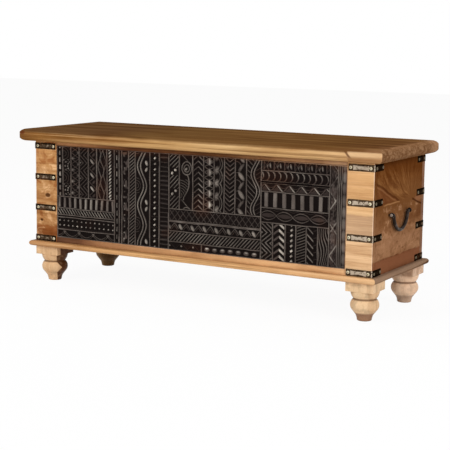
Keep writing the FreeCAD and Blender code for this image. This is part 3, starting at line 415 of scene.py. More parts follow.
def lattice(x, y, z, seed):
    """A repeatable random number from 0 to 1 for whole coordinates."""
    mixed = (x * 374761393 + y * 668265263 + z * 2147483647 + seed * 974711) & 0xFFFFFFFF
    mixed = ((mixed ^ (mixed >> 13)) * 1274126177) & 0xFFFFFFFF
    return ((mixed ^ (mixed >> 16)) & 0xFFFF) / 65535.0


def soft_noise(x, y, z, seed):
    """Smooth noise from 0 to 1 at arrays of places."""
    places = np.broadcast_arrays(*(np.asarray(c, float) for c in (x, y, z)))
    base = [np.floor(c).astype(np.int64) for c in places]
    part = [c - b for c, b in zip(places, base)]
    part = [p * p * (3 - 2 * p) for p in part]
    total = 0
    for i, j, k in np.ndindex(2, 2, 2):
        weight = ((part[0] if i else 1 - part[0]) * (part[1] if j else 1 - part[1])
                  * (part[2] if k else 1 - part[2]))
        total = total + weight * lattice(base[0] + i, base[1] + j, base[2] + k, seed)
    return total


# A board's grid, how far its faces are planed hollow, over what length, and how far in an edge looks worn
BOARD_STEP, FACE_HOLLOW, FACE_WAVE, EDGE_WIDTH = 12, 0.25, 55, 2.2


def ticks(low, high, radius):
    """Grid lines from low to high, close together near both ends."""
    near = [0, radius * 0.35, radius, radius + 1.5, radius + 5]
    count = max(1, int(round((high - low - 2 * near[-1]) / BOARD_STEP)))
    middle = np.linspace(low + near[-1], high - near[-1], count + 1)
    if high - low < 2 * near[-1] + 2:
        near = near[:3]
        middle = np.linspace(low + radius, high - radius, 3)
    return np.array([low + n for n in near[:-1]] + list(middle) + [high - n for n in near[:-1][::-1]])


def rounded_board(low, high, radius, seed):
    """A board with eased edges and slightly uneven faces, with how near an edge each point is."""
    lines = [ticks(a, b, radius) for a, b in zip(low, high)]
    counts = [len(line) for line in lines]
    index = -np.ones(counts, int)
    grid = np.stack(np.meshgrid(*[np.arange(n) for n in counts], indexing="ij"), -1).reshape(-1, 3)
    shell = grid[((grid == 0) | (grid == np.array(counts) - 1)).any(axis=1)]
    index[tuple(shell.T)] = np.arange(len(shell))
    points = np.stack([lines[axis][shell[:, axis]] for axis in range(3)], -1)
    faces = []
    for axis in range(3):
        first, second = [a for a in range(3) if a != axis]
        for end in (0, counts[axis] - 1):
            i, j = np.meshgrid(np.arange(counts[first] - 1), np.arange(counts[second] - 1), indexing="ij")
            corners = []
            for di, dj in ((0, 0), (1, 0), (1, 1), (0, 1)):
                spot = [None] * 3
                spot[axis], spot[first], spot[second] = np.full(i.shape, end), i + di, j + dj
                corners.append(index[tuple(spot)].ravel())
            quad = np.stack(corners, -1)
            turned = (axis == 1) == (end != 0)
            faces += (quad[:, ::-1] if turned else quad).tolist()
    core = np.clip(points, low + radius, high - radius)
    away = points - core
    normal = away / np.maximum(np.linalg.norm(away, axis=1, keepdims=True), 1e-9)
    points = core + normal * radius
    gaps = np.sort(np.minimum(points - low, high - points), axis=1)
    edge = np.exp(-gaps[:, 1] / EDGE_WIDTH)
    sunk = FACE_HOLLOW * soft_noise(*(points.T / FACE_WAVE), seed)
    return points - normal * (sunk * (1 - edge))[:, None], faces, edge


def cad_board(name, material, seed, radius):
    """An eased board in place of the CAD node of the same name."""
    low, high = (np.array(corner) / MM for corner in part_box(name))
    points, faces, edge = rounded_board(low, high, radius, seed)
    piece(f"{name}_planed", points, faces, "root", material, (name,), {"edge": edge})


# Carving. A motif takes the place a along its strip, the place b across it and the strip's width w, all in
# millimetres. It gives how high the wood stands (0 in the ground, 1 at the face) and how bright it is: wear
# from rubbing and painted highlights, glints on the facets.
# In a motif, m is the place within a repeat, from its middle or its start, and n is the same half a repeat on.

PANEL_TOP, PANEL_BOTTOM, PANEL_LEFT, PANEL_RIGHT = 410.0, 138.0, -472.0, 469.0
PANEL_X = 7.0
FACE_Y, BACK_Y, GROUND_DEPTH = -174.5, -158.0, 5.2
CARVING_STEP, CHISEL_DEPTH, CHISEL_LENGTH = 0.95, 0.7, 5
# How far the carver's lines stray, over what length, and the plain margin and raised frame of each field
STRAY, STRAY_LENGTH = 1.6, 38
MARGIN, MARGIN_SLOPE, FRAME_HALF, FRAME_SHINE = 1.6, 1.2, 0.9, 0.22


def most(*parts):
    """The highest of several shapes at each place."""
    highest = parts[0]
    for part in parts[1:]:
        highest = np.maximum(highest, part)
    return highest


def ridge(distance, half=1.0, slope=1.1):
    """1 within half a line's width of its middle, then down to 0 over the slope."""
    return np.clip((half + slope - np.abs(distance)) / slope, 0, 1)


def folded(along, pitch):
    """The way from the middle of the nearest repeat, with its sign."""
    return (along + pitch / 2) % pitch - pitch / 2


def zigzag(along, pitch):
    """From 1 at the start of a repeat to -1 in its middle, and back."""
    return 4 * np.abs((along / pitch) % 1 - 0.5) - 1


def oval(across, along, half_width, half_length, turn=0.0):
    """Distance from the middle of a turned oval, where 1 is its outline."""
    c, s = math.cos(math.radians(turn)), math.sin(math.radians(turn))
    return np.hypot((across * c + along * s) / half_width, (along * c - across * s) / half_length)


def dome(distance, sharp=0.5):
    """A rounded top, down to 0 where the distance is 1."""
    return np.clip(1 - distance ** 2, 0, 1) ** sharp


def leaf(across, along, half_width, half_length, turn=0.0, sharp=0.5):
    """A raised oval that swells to its middle."""
    return dome(oval(across, along, half_width, half_length, turn), sharp)


def luck(along, pitch, seed, low=0.25):
    """A repeatable share from low to 1 for each repeat of a motif."""
    unit = np.floor(along / pitch + 0.5).astype(np.int64)
    return low + (1 - low) * lattice(unit, unit * 3, unit * 0 + 7, seed)


def cloud(a, b, long, wide, seed):
    """Soft noise over a strip, with bumps of this length and width."""
    return soft_noise(a / long, b / wide, a * 0, seed)


def crossed(a, b, w, pitch, swing):
    """Two zigzag lines that cross in the middle of the strip."""
    tilt = 1 / math.hypot(1, 4 * swing / pitch)
    wave = zigzag(a, pitch) * swing
    return most(ridge((b - w / 2 - wave) * tilt, 0.8), ridge((b - w / 2 + wave) * tilt, 0.8))


def dashes(a, b, w, pitch=31, length=19, half=2.2, seed=1, shine=1.0):
    stroke = ridge(b - w / 2, half) * ridge(folded(a, pitch), length / 2)
    return stroke, stroke * luck(a, pitch, seed) * shine


def crescents(a, b, w, pitch=72, seed=2):
    far = np.hypot(folded(a - pitch * 0.3, pitch), b - w * 0.1)
    arcs = ridge(folded(far, 8.6), 0.5) * (far < w * 0.95)
    n = folded(a - pitch * 0.3 + pitch / 2, pitch)
    ring = np.hypot(n, b - w * 1.05)
    angle = np.arctan2(n, w * 1.05 - b)
    peg = dome(np.hypot(folded(ring + 4.3, 9.4) / 2.5, folded(angle, 0.5) * ring / 3.4))
    peg = peg * (np.abs(n) < 19) * (ring > 9)
    return most(arcs * 0.6, peg * 0.9), peg * 0.9 * luck(a, 9.0, seed, 0.1) + arcs * 0.06


def lattices(a, b, w, pitch=34, shine=0.35):
    lines = crossed(a, b, w, pitch, w / 2)
    upper = np.clip(1 - np.abs(folded(a, pitch)) / (pitch * 0.24) - b / (w * 0.62), 0, 1) * 1.6
    n = folded(a + pitch / 2, pitch)
    facet = most(upper, np.clip(1 - np.abs(n) / (pitch * 0.2) - (w - b) / (w * 0.5), 0, 1) * 1.4)
    facet = np.clip(facet, 0, 0.9)
    return most(lines * 0.8, facet), facet * shine


def nested(a, b, w, pitch=46, gap=9.0, shine=0.6):
    m = np.abs(folded(a, pitch))
    lines = ridge(folded(m * 0.75 + b * 0.66, gap), 0.75)
    tip = np.clip(np.clip(1 - m / 5.5 - b / 9, 0, 1) * 2, 0, 1)
    return most(lines * 0.75, tip), tip * shine * luck(a, pitch, 4) * 1.6 + lines * 0.08


def lenses(a, b, w, pitch=40, shine=0.8, turn=42, seed=5):
    wave = zigzag(a, pitch) * w * 0.42
    line = ridge((b - w / 2 - wave) * (1 / math.hypot(1, 4 * w * 0.42 / pitch)), 0.9)
    bright = leaf(b - w * 0.42, folded(a, pitch), w * 0.12, pitch * 0.27, -turn)
    dull = leaf(b - w * 0.6, folded(a + pitch / 2, pitch), w * 0.15, pitch * 0.2, turn)
    return most(line * 0.75, bright, dull * 0.7), bright * shine * luck(a, pitch, seed)


def branches(a, b, w, pitch=70):
    total = 0
    for shift, share, size in ((0.0, 0.25, 0.14), (0.35, 0.5, 0.17), (0.7, 0.75, 0.13)):
        bend = np.sin((a / pitch + shift) * 2 * np.pi)
        total = most(total, ridge(b - w * share - bend * w * size, 0.75))
    twig = ridge(folded(a * 0.8 + np.abs(b - w / 2) * 0.9, 9.5), 0.6) * (cloud(a, b, 16, 9, 31) > 0.5)
    return most(total * 0.8, twig * 0.6), total * 0.16


def rope(a, b, w, pitch=9.7, seed=6):
    slanted = a + b * 0.95
    bead = leaf(folded(slanted, pitch), b - w * 0.37, pitch * 0.34, w * 0.19)
    strand = ridge(folded(slanted, pitch) * 0.7, 0.3) * (b < w * 0.8) * 0.3
    return most(bead, strand), np.clip(bead * 1.2, 0, 1) * luck(slanted, pitch, seed, 0.5)


def bars(a, b, w, pitch=19.2, half=3.6, start=8.0, shine=0.27, seed=7):
    m = folded(a - start, pitch)
    lean = 0.2 * (luck(a - start, pitch, seed, 0) - 0.5)
    post = ridge(m + lean * (b - w / 2) * 0.3, half, 1.2) * ridge(b - w / 2, w / 2 - 2.5)
    return post, post * shine * luck(a - start, pitch, seed, 0.45)


def hatch(a, b, w, pitch=7.0, slope=0.62, half=0.85, shine=0.25, soft=1.1):
    lines = ridge(folded(a + slope * b, pitch) / math.hypot(1, slope), half, soft)
    return lines * 0.85, lines * shine


def dots(a, b, w, pitch=16.7, start=4.0, radius=2.4, shine=1.0, seed=8):
    peg = leaf(b - w / 2, folded(a - start, pitch), radius, radius * 0.8, 20)
    line = ridge(b - w * 0.5 - zigzag(a - start + pitch / 2, pitch) * w * 0.36, 0.5) * 0.4
    return most(peg, line), peg * shine * luck(a - start, pitch, seed, 0.45)


def dot_pairs(a, b, w, pitch=16.0, start=8.0, radius=2.8, seed=8):
    along_row = folded(a - start, pitch)
    upper, lower = (leaf(b - w * share, along_row, radius, radius * 0.85, 20) for share in (0.27, 0.66))
    zig = ridge(b - w * 0.92 - zigzag(a, 8.0) * 1.2, 0.5) * 0.4
    shine = upper * luck(a - start, pitch, seed, 0.4) * 0.6 + lower * luck(a - start, pitch, seed + 9, 0.5)
    return most(upper, lower, zig), shine


def scallops(a, b, w, pitch=51):
    hang = w * 0.78 - (folded(a, pitch) / (pitch / 2)) ** 2 * w * 0.62
    lines = most(ridge(b - hang, 0.8), ridge(b - hang - 5.5, 0.7))
    n = folded(a + pitch / 2, pitch)
    stem = ridge(n, 0.8) * (b < w * 0.55) * (b > w * 0.28)
    arms = ridge(np.abs(n) * 0.7 + b * 0.7 - w * 0.25, 0.8) * (np.abs(n) < 5)
    return most(lines * 0.75, most(stem, arms) * 0.7), lines * 0.12 + most(stem, arms) * 0.16


def organic(a, b, w, seed=9):
    lump = np.clip((cloud(a, b, 9, 7, seed) - 0.48) * 3.5, 0, 0.8)
    peg = dome(np.hypot(folded(a, 17.0), b - w * 0.35) / 3)
    return most(lump, peg * 0.85), peg * 0.5 * luck(a, 17.0, seed, 0) + lump * 0.1


def plain(a, b, w):
    return a * 0, a * 0


def wave_leaves(a, b, w, pitch=113, shine=0.7, start=13.3):
    share = (a - start) / pitch * 2 * np.pi
    middle = w * 0.46 - np.sin(share) * w * 0.2
    tilt = 1 / np.hypot(1, np.cos(share) * w * 0.2 * 2 * np.pi / pitch)
    lines = most(ridge((b - middle + 5.2) * tilt, 0.9), ridge((b - middle - 5.2) * tilt, 0.9))
    m = folded(a - start - pitch * 0.25, pitch)
    pair = most(leaf(b - w * 0.74, m - 9.5, 4.2, 8.0, 24), leaf(b - w * 0.74, m + 9.5, 4.6, 8.6, -20))
    n = folded(a - start + pitch * 0.25, pitch)
    veins = ridge(folded(np.hypot(n, b - w * 0.05), 7.0), 0.7) * 0.55
    veins = veins * (oval(b - w * 0.05, n, w * 0.3, 26) < 1)
    return most(lines, pair, veins), lines * 0.38 + pair * shine + veins * 0.16


def arrow_column(a, b, w, pitch=15.9, share=0.5, shine=1.0, seed=11, size=4.2):
    m = folded(a, pitch)
    tip = np.clip(1.25 - np.abs(m) / size - np.abs(b - w * share + m * 0.3) / (size * 0.9), 0, 1)
    tip = np.clip(tip * 1.6, 0, 1)
    rung = ridge(folded(a + pitch / 2, pitch * 2), 0.5) * 0.35
    return most(tip, rung), tip * shine * luck(a, pitch, seed, 0.5)


def ladder(a, b, w, pitch=13.0, seed=12):
    rung = ridge(folded(a + 3 * (cloud(a, b, 30, 20, seed) - 0.5), pitch), 0.6)
    step = 0.35 * luck(a, pitch, seed, 0)
    return most(rung * 0.55, step * (np.abs(folded(a, pitch)) < pitch * 0.3)), rung * 0.1


def hatch_and_dots(a, b, w, pitch=58, gap=12.4):
    m = (a + 16) % pitch
    lines = ridge(folded(a + 0.95 * b, gap) / 1.38, 0.6) * (m > 18) * (m < pitch - 3)
    peg = most(dome(np.hypot(m - 3.5, b - w * 0.6) / 4.6), leaf(b - w * 0.28, m - 13, 3.8, 5.2, 25))
    return most(lines * 0.8, peg), lines * 0.36 + peg * 0.8


def paisley(a, b, w, pitch=128):
    m = a % pitch
    centre = m - pitch * 0.3
    far = np.hypot(centre * 0.85, b - w * 0.55)
    rings = most(ridge(far - w * 0.36, 0.9), ridge(far - w * 0.2, 0.8))
    eye = leaf(b - w * 0.5, centre - 2, 3.6, 5.0, 30)
    bend = w * (0.3 + 0.42 * np.sin(np.clip((m - pitch * 0.28) / (pitch * 0.66), 0, 1) * np.pi))
    tail = ridge(b - bend, 1.0) * (m > pitch * 0.42)
    fans = ridge(folded(np.hypot(m - pitch * 0.9, b), 7.0), 0.6) * (m > pitch * 0.55) * (b < bend - 3)
    upper = ridge(b - w * 0.62 + np.clip(pitch * 0.14 - m, 0, 20) * 1.1, 0.9) * (m < pitch * 0.14)
    lines = most(rings, tail, fans * 0.6, upper)
    return most(lines * 0.9, eye), lines * 0.26 + eye * 0.6


def chevrons(a, b, w, pitch=15.5, slope=0.85, half=0.9, bright=0.35, seed=13):
    bent = a - slope * np.abs(b - w / 2)
    lines = ridge(folded(bent, pitch) / math.hypot(1, slope), half)
    # Painted highlight: the right arm of each chevron is brighter
    right = np.clip((b - w / 2) / 2, 0, 1) * np.clip((w * 0.97 - b) / 2, 0, 1)
    return lines * 0.88, lines * (0.08 + right * bright * luck(bent, pitch, seed, 0.4))


def diamonds(a, b, w, pitch=30, bright=0.85):
    far = np.abs(folded(a - pitch / 2, pitch)) / (pitch * 0.52) + np.abs(b - w / 2) / (w * 0.33)
    stone = np.clip((1 - far) * 1.9, 0, 1)
    lines = crossed(a, b, w, pitch, w * 0.46)
    lit = np.clip((b - w * 0.5) / 2, 0.1, 1) * luck(a - pitch / 2, pitch, 15, 0.45)
    return most(stone, lines * 0.8), stone * lit * bright + lines * 0.16


def half_leaves(a, b, w, pitch=37):
    half = leaf(b - w * 0.22, folded(a, pitch), w * 0.24, pitch * 0.36, 12)
    far = np.hypot(folded(a + pitch * 0.5, pitch) * 0.9, b - w * 0.1)
    arcs = np.clip(ridge(far - w * 0.68, 0.9) + ridge(far - w * 0.46, 0.7) * 0.7, 0, 1)
    return most(half * 0.8, arcs * 0.8), half * 0.2 + arcs * 0.22


def leaf_zigzag(a, b, w, pitch=50, shine=0.42):
    n = folded(a + pitch / 2, pitch)
    main = leaf(b - w * 0.52, folded(a, pitch), w * 0.19, pitch * 0.31, -38)
    side = leaf(b - w * 0.5, n, w * 0.14, pitch * 0.3, 40)
    arc = ridge(np.hypot(n, b - w * 0.08) - w * 0.44, 0.8) * 0.7
    return most(main, side * 0.75, arc), main * shine + side * 0.16 + arc * 0.1


def hatched_wave(a, b, w, pitch=95):
    bend = w * 0.6 + np.cos((a + 8) / pitch * 2 * np.pi) * w * 0.2
    lines = most(ridge(b - bend + 4.5, 1.0), ridge(b - bend - 4.5, 1.0))
    strokes = ridge(folded(a - b * 0.9, 14.0) / 1.35, 0.6) * (b < bend - 8)
    others = ridge(folded(a + b * 0.6, 12.0) / 1.2, 0.6) * (b > bend + 8) * 0.6
    return most(lines, strokes * 0.65, others), lines * 0.36 + strokes * 0.2


def diamond_net(a, b, w, pitch=19.0, half=0.6):
    net = most(*(ridge(folded(a + b * slope, pitch) / 1.28, half) for slope in (0.8, -0.8)))
    worn_off = cloud(a, b, 25, 9, 17)
    return net * (0.3 + 0.4 * worn_off) + 0.12 * worn_off, net * 0.08


def leaf_row(a, b, w, pitch=39, shine=0.42):
    blade = leaf(b - w * 0.52, folded(a, pitch), w * 0.2, pitch * 0.27, -58)
    m = np.abs(folded(a + pitch / 2, pitch))
    tent = ridge((b - w * 0.12 - m * 1.15) * 0.66, 0.8) * (m < pitch * 0.36)
    inner = ridge((b - w * 0.4 - m * 1.15) * 0.66, 0.7) * (m < pitch * 0.26)
    return most(blade, most(tent, inner) * 0.75), blade * shine + tent * 0.16


def beads(a, b, w, pitch=25, start=0.0, shine=0.8, seed=19):
    m = folded(a - start, pitch)
    bead = leaf(b - w * 0.55, m, w * 0.3, pitch * 0.36, sharp=0.4)
    glint = leaf(b - w * 0.42, m - 1, w * 0.1, pitch * 0.24)
    return bead * 0.9, glint * shine * luck(a - start, pitch, seed, 0.5) + bead * 0.12


def tiles(a, b, w, pitch=31, start=-8.0):
    m = folded(a - start, pitch)
    post = ridge(np.abs(m) - pitch / 2, 0.9)
    first = leaf(b - w * 0.5, m - 3, w * 0.3, 3.0, 12)
    second = leaf(b - w * 0.55, m + 5, w * 0.24, 2.2, -20)
    lines = ridge(np.abs(m + 9) * 0.8 - np.abs(b - w / 2) * 0.5, 0.7)
    return most(post, first * 0.8, second * 0.8, lines * 0.6), first * 0.3 + second * 0.2


def crescent_row(a, b, w, pitch=17.5, start=3.0):
    far = np.hypot(folded(a - start, pitch) + 9.5, (b - w * 0.5) * 0.92)
    arc = ridge(far - 12.5, 1.0) * (np.abs(b - w / 2) < w * 0.42)
    return arc * 0.9, arc * 0.32 * np.clip((w * 0.7 - b) / 6, 0, 1)


def tents(a, b, w, pitch=37, start=10.0):
    m = folded(a - start, pitch)
    hill = ridge((b - w * 0.12 - np.abs(m) * 1.05) * 0.7, 1.0)
    far = np.hypot(folded(a - start + pitch / 2, pitch), b + w * 0.1)
    bowl = np.clip(ridge(far - w * 0.62, 0.7) + ridge(far - w * 0.92, 0.7), 0, 1)
    fill = np.clip((b - w * 0.3 - np.abs(m) * 1.05) / 3, 0, 0.5)
    # Painted highlight on the right slope of each hill
    return most(hill, fill, bowl * 0.6), hill * np.clip(m / 4, 0, 1) * 0.45


def eyes(a, b, w, pitch=50, start=22.0):
    swell = np.abs(np.cos((a - start) / pitch * np.pi)) ** 0.8 * w * 0.3
    lens = most(ridge(b - w / 2 - swell, 0.9), ridge(b - w / 2 + swell, 0.9))
    inner = np.clip((swell * 0.6 - np.abs(b - w / 2)) / 3, 0, 0.55)
    edge = ridge(b - w * 0.1 - np.abs(zigzag(a - start, pitch)) * w * 0.1, 0.6) * 0.6
    return most(lens * 0.85, inner, edge * 0.8), lens * 0.12


def vees(a, b, w, pitch=19.0):
    left = ridge(folded(a - b * 0.95, pitch) / 1.38, 0.9) * (b < w * 0.62)
    right = ridge(folded(a + (b - w) * 0.35 - w * 0.25, pitch), 0.6) * (b >= w * 0.62)
    return most(left * 0.9, right * 0.6), left * 0.32


def flow(a, b, w, gap=6.8, swing=7.0, pitch=104):
    bend = np.sin(a / pitch * 2 * np.pi + b / w * 1.6) * swing * (0.4 + 0.6 * b / w)
    lines = ridge(folded(b + bend, gap), 0.75)
    return lines * 0.85, lines * 0.22


def worn_signs(a, b, w, seed=23):
    rubbed_and_glint = cloud(a, b, 14, 8, seed)
    scratch = cloud(a, b, 4.5, 3, seed + 1) - 0.5
    big = ridge(folded(a + b * 1.4, 61.0) / 1.72, 1.0) + ridge(folded(a - b * 1.3 + 12, 83.0) / 1.6, 0.8)
    base = np.clip(0.16 + 0.75 * rubbed_and_glint + 0.5 * scratch, 0.05, 0.9)
    shine = np.clip(big, 0, 1) * 0.45 * rubbed_and_glint + 0.3 * np.clip(scratch, 0, 1)
    return np.clip(base + big * 0.25, 0, 0.95), shine


def bumps(a, b, w, pitch=31, seed=27):
    lump = leaf(b - w * 0.5, folded(a, pitch), w * 0.46, pitch * 0.52, sharp=0.35)
    bed = ridge(b - w * 0.5, w * 0.34) * 0.45
    return most(lump * 0.95, bed), bed * 0.1 + lump * 0.24 * luck(a, pitch, seed, 0.3)


def zigzags(a, b, w, pitch=56, gap=9.0):
    lines = ridge(folded(np.abs(folded(a, pitch)) * 0.76 - b * 0.62, gap), 0.9)
    return lines * 0.85, lines * 0.26


# Groups of strips that run down: first left edge, top, bottom, then each strip's right edge, motif and sizes
DOWN = [
    (-472, 410, 261, [
        (-451, dashes, dict(pitch=20.5, length=12, half=1.7, shine=0.8)), (-421, crescents, {}),
        (-391, lattices, {}), (-358, nested, {}), (-328, lenses, {}), (-292, branches, {}),
        (-266, rope, {})]),
    (-266, 410, 138, [
        (-249, dashes, dict(pitch=23, length=13, half=0.7, seed=41, shine=0.5)), (-240, plain, {}),
        (-216, organic, {}), (-193.5, hatch, dict(pitch=9.5, slope=0.85)), (-144, wave_leaves, {}),
        (-112, arrow_column, {}), (-80, ladder, {})]),
    (-80, 410, 255, [
        (-45, hatch_and_dots, {}), (-1, paisley, {}), (34, chevrons, {}), (67, diamonds, {}),
        (100, half_leaves, {}),
        (134, chevrons, dict(pitch=12.2, slope=-0.8, bright=0.2, seed=43)), (169, leaf_zigzag, {}),
        (215.2, hatched_wave, {})]),
    (215.2, 241, 138, [
        (252, zigzags, {}), (290, chevrons, dict(pitch=17.6, slope=0.75, half=2.4, bright=0.85, seed=47)),
        (322, arrow_column, dict(share=0.58, seed=49, pitch=14.2, size=5.0, shine=1.2)),
        (353, hatch, dict(pitch=8.0, slope=0.4, half=0.5, shine=0.3)), (387, vees, {}), (419, flow, {})]),
    (419, 410, 138, [(443, worn_signs, {}), (447.5, plain, {}), (453, plain, {}), (469, bumps, {})]),
]
# Groups of rows that run to the right: first top, left, right, then each row's bottom, motif and sizes
ACROSS = [
    (261, -472, -266, [
        (226, bars, dict(half=3.0, shine=0.38)),
        (206, hatch, dict(pitch=10.2, slope=-0.8, half=0.55, shine=0.5, soft=0.9)), (199, plain, {}),
        (162, dot_pairs, {}), (138, scallops, dict(pitch=52))]),
    (255, -80, 215.2, [
        (221, diamond_net, {}), (218, dashes, dict(pitch=19, length=9, half=0.8, seed=53)),
        (191, leaf_row, {}), (161, hatch, dict(pitch=10.7, slope=0.95, half=0.95, shine=0.32))]),
    (161, -80, 28, [(138, dots, dict(pitch=38, radius=3.6, shine=0.6, seed=55))]),
    (161, 28, 215.2, [(138, beads, dict(start=17.0))]),
    (410, 215.2, 419, [(382, tiles, {}), (353, crescent_row, {})]),
    (348, 215.2, 419, [
        (325, tents, {}), (281, bars, dict(pitch=27, half=4.8, start=16.0, shine=0.3, seed=57)),
        (241, eyes, {})]),
]


def fields():
    """Every strip and row: left, right, top and bottom edge, whether it runs down, motif and sizes."""
    for left, top, bottom, strips in DOWN:
        for right, motif, sizes in strips:
            yield left, right, top, bottom, True, motif, sizes
            left = right
    for top, left, right, rows in ACROSS:
        for bottom, motif, sizes in rows:
            yield left, right, top, bottom, False, motif, sizes
            top = bottom


def carve(x, z):
    """Height of the carving at places on the panel, and its brightness from wear and painted highlights."""
    x = x + STRAY * (soft_noise(x / STRAY_LENGTH, z / STRAY_LENGTH, 0, 61) - 0.5)
    z = z + STRAY * (soft_noise(x / STRAY_LENGTH, z / STRAY_LENGTH, 0, 62) - 0.5)
    height, shine, frames = (np.zeros(x.shape) for _ in range(3))
    for left, right, top, bottom, runs_down, motif, sizes in fields():
        across, level = (x >= left) & (x < right), (z <= top) & (z > bottom)
        spot = across & (level | (z > top) & (top == PANEL_TOP) | (z <= bottom) & (bottom == PANEL_BOTTOM))
        spot |= level & ((x < left) & (left == PANEL_LEFT) | (x >= right) & (right == PANEL_RIGHT))
        from_left, from_top = x[spot] - left, top - z[spot]
        wide, tall = right - left, top - bottom
        strip = (from_top, from_left, wide) if runs_down else (from_left, from_top, tall)
        inset = np.minimum.reduce([from_left, wide - from_left, from_top, tall - from_top])
        clear = np.clip((inset - MARGIN) / MARGIN_SLOPE, 0, 1)
        height[spot], shine[spot] = (part * clear for part in motif(*strip, **sizes))
        frames[spot] = ridge(inset, FRAME_HALF)
    rubbed_and_glint = soft_noise(x / 21, z / 21, 0, 63)
    height = most(height * 0.94, frames) * (0.86 + 0.14 * rubbed_and_glint)
    shine = most(shine, frames * FRAME_SHINE) * (0.55 + 0.7 * rubbed_and_glint)
    return np.clip(height, 0, 1), np.clip(shine, 0, 1)


def carved_block(name, material):
    """The carved face as a fine grid of points, with plain sides and back."""
    low, high = (np.array(corner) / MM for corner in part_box(name))
    columns, rows = (int(round((high[axis] - low[axis]) / CARVING_STEP)) + 1 for axis in (0, 2))
    x, z = np.meshgrid(np.linspace(low[0], high[0], columns), np.linspace(high[2], low[2], rows))
    height, shine = carve(x - PANEL_X, z)
    chisel = (soft_noise(x / CHISEL_LENGTH, z / CHISEL_LENGTH, 0, 71) - 0.5) * CHISEL_DEPTH * (1 - height)
    y = FACE_Y + (1 - height) * GROUND_DEPTH + chisel
    front = np.stack([x, y, z], -1).reshape(-1, 3)
    index = np.arange(len(front)).reshape(rows, columns)
    quads = np.stack([index[:-1, :-1], index[1:, :-1], index[1:, 1:], index[:-1, 1:]], -1).reshape(-1, 4)
    back = [(across, BACK_Y, level) for across, level in
            ((low[0], high[2]), (high[0], high[2]), (high[0], low[2]), (low[0], low[2]))]
    top_left, top_right, bottom_right, bottom_left = range(len(front), len(front) + 4)
    sides = [
        index[0, :].tolist() + [top_right, top_left],
        index[:, -1].tolist() + [bottom_right, top_right],
        index[-1, ::-1].tolist() + [bottom_left, bottom_right],
        index[::-1, 0].tolist() + [top_left, bottom_left],
        [top_left, top_right, bottom_right, bottom_left],
    ]
    layers = {"relief": np.append(height, [0] * 4), "shine": np.append(shine, [0] * 4)}
    piece(f"{name}_relief", np.concatenate([front, back]), quads.tolist() + sides, "root", material, (name,),
          layers, smooth=60)


# Materials

# Places and sizes of the redder spots of the panel
RED_SPOTS = ((-305, 290, 24, 40), (-190, 404, 60, 12), (-90, 404, 22, 18), (35, 270, 34, 34),
             (258, 362, 60, 34), (20, 150, 50, 14), (462, 404, 22, 20))
# Tones of the thin lip along the panel's upper edge, lit more to the right
LIP_TONES = [(-200, (76, 46, 32)), (60, (96, 66, 48)), (230, (140, 104, 76)), (470, (176, 136, 104))]


def carved_material(name, ground, ridge_colour, rubbed_and_glint):
    """Carving under a dark stain: nearly black in the ground, grey-brown with wear on the ridges, redder in
    places, and near white where the shine values give wear and painted highlights.
    """
    graph = Graph(name)
    relief, shine = graph.attribute("relief"), graph.attribute("shine")
    patches = graph.noise(14.0, (0.0, 2.0, 5.0), detail=4.0)
    grain = graph.noise(grain_scale("X", 30.0, 700.0), (0.0, 1.0, 3.0))
    fine = graph.noise(420.0, (0.0, 7.0, 1.0), detail=3.0)
    lift = relief.power(1.3) * (0.45 + patches * 0.75) * (0.7 + fine * 0.6)
    colour = graph.mix(lift.least(1.0), ground, ridge_colour)
    reddish = patches.ramp(0.56, 0.72) * 0.3
    for x, z, wide, tall in RED_SPOTS:
        near = graph.distance((x, FACE_Y, z), (wide, 60, tall)).ramp(1.4, 0.3)
        reddish = reddish.most(near * (0.35 + patches * 0.6))
    colour = graph.mix(reddish * 0.7, colour, graph.mix(relief, srgb(44, 22, 14), srgb(112, 74, 52)))
    x, z = graph.axes("XZ")
    upper = z.ramp(394.0, 406.0) * (0.25 + patches * 0.5)
    colour = graph.mix(upper, colour, graph.mix(relief, srgb(40, 21, 13), srgb(104, 70, 52)))
    lip = z.ramp(406.4, 407.6) * x.ramp(-330.0, -120.0)
    colour = graph.mix(lip * 0.8, colour, along(graph, "X", LIP_TONES))
    colour = graph.mix(x.ramp(472.0, 473.4) * 0.7, colour, srgb(164, 124, 98))
    # Near white where the shine values are high: wear on the facets and painted highlights, glints
    bright = (shine.power(1.4) * (0.6 + fine * 0.8)).least(1.0)
    colour = graph.mix(bright, colour, rubbed_and_glint)
    roughness = 0.62 - relief * 0.12 - shine * 0.2 + (grain - 0.5) * 0.15
    return graph.finish(colour, roughness, grain * 0.5 + fine * 0.5, depth=0.2, Specular_IOR_Level=0.05)


# Iron and brass

STRAP_TALL, FACE_LEG, SIDE_LEG = 18.5, 74.0, 56.0
STRAP_LEVELS = (122.0, 214.0, 306.0, 398.0)
# The raised middle of a strap's leg: where it starts and ends, its half width and how much that flares
WAIST_NEAR, WAIST_FAR_FACE, WAIST_FAR_SIDE, WAIST_HALF, WAIST_FLARE = 15.5, 60.5, 42.5, 4.4, 2.8
EDGE_THICK, RIM_WIDTH, RIM_RISE, SWELL_RISE = 0.35, 0.7, 0.95, 0.62
BLOW_DEPTH, BENT_DEPTH = 0.2, 0.22
# Heights over a strap's lower edge, close together by both edges
RISES = np.array([0, 0.25, 0.7, 1.5, 2.5, 3.5, 4.4, 5.2, 6.1, 7.2, 8.3, 9.25, 10.2, 11.3, 12.4, 13.3, 14.1,
                  15.0, 16.0, 17.0, 17.8, 18.25, 18.5])
NAIL_INSET, NAIL_FROM_TIP, STRAP_THICK = 10.0, 7.0, 1.25
NAIL_PROFILE = [(0, -14), (0.5, -13.2), (1.0, -11), (1.2, 0.0), (4.35, 0.0), (4.5, 0.25), (4.35, 0.85),
                (3.85, 1.55), (3.1, 2.05), (2.2, 2.3), (1.3, 2.38), (0, 2.4)]
ON_FACE, ON_SIDE, ON_CORNER = range(3)


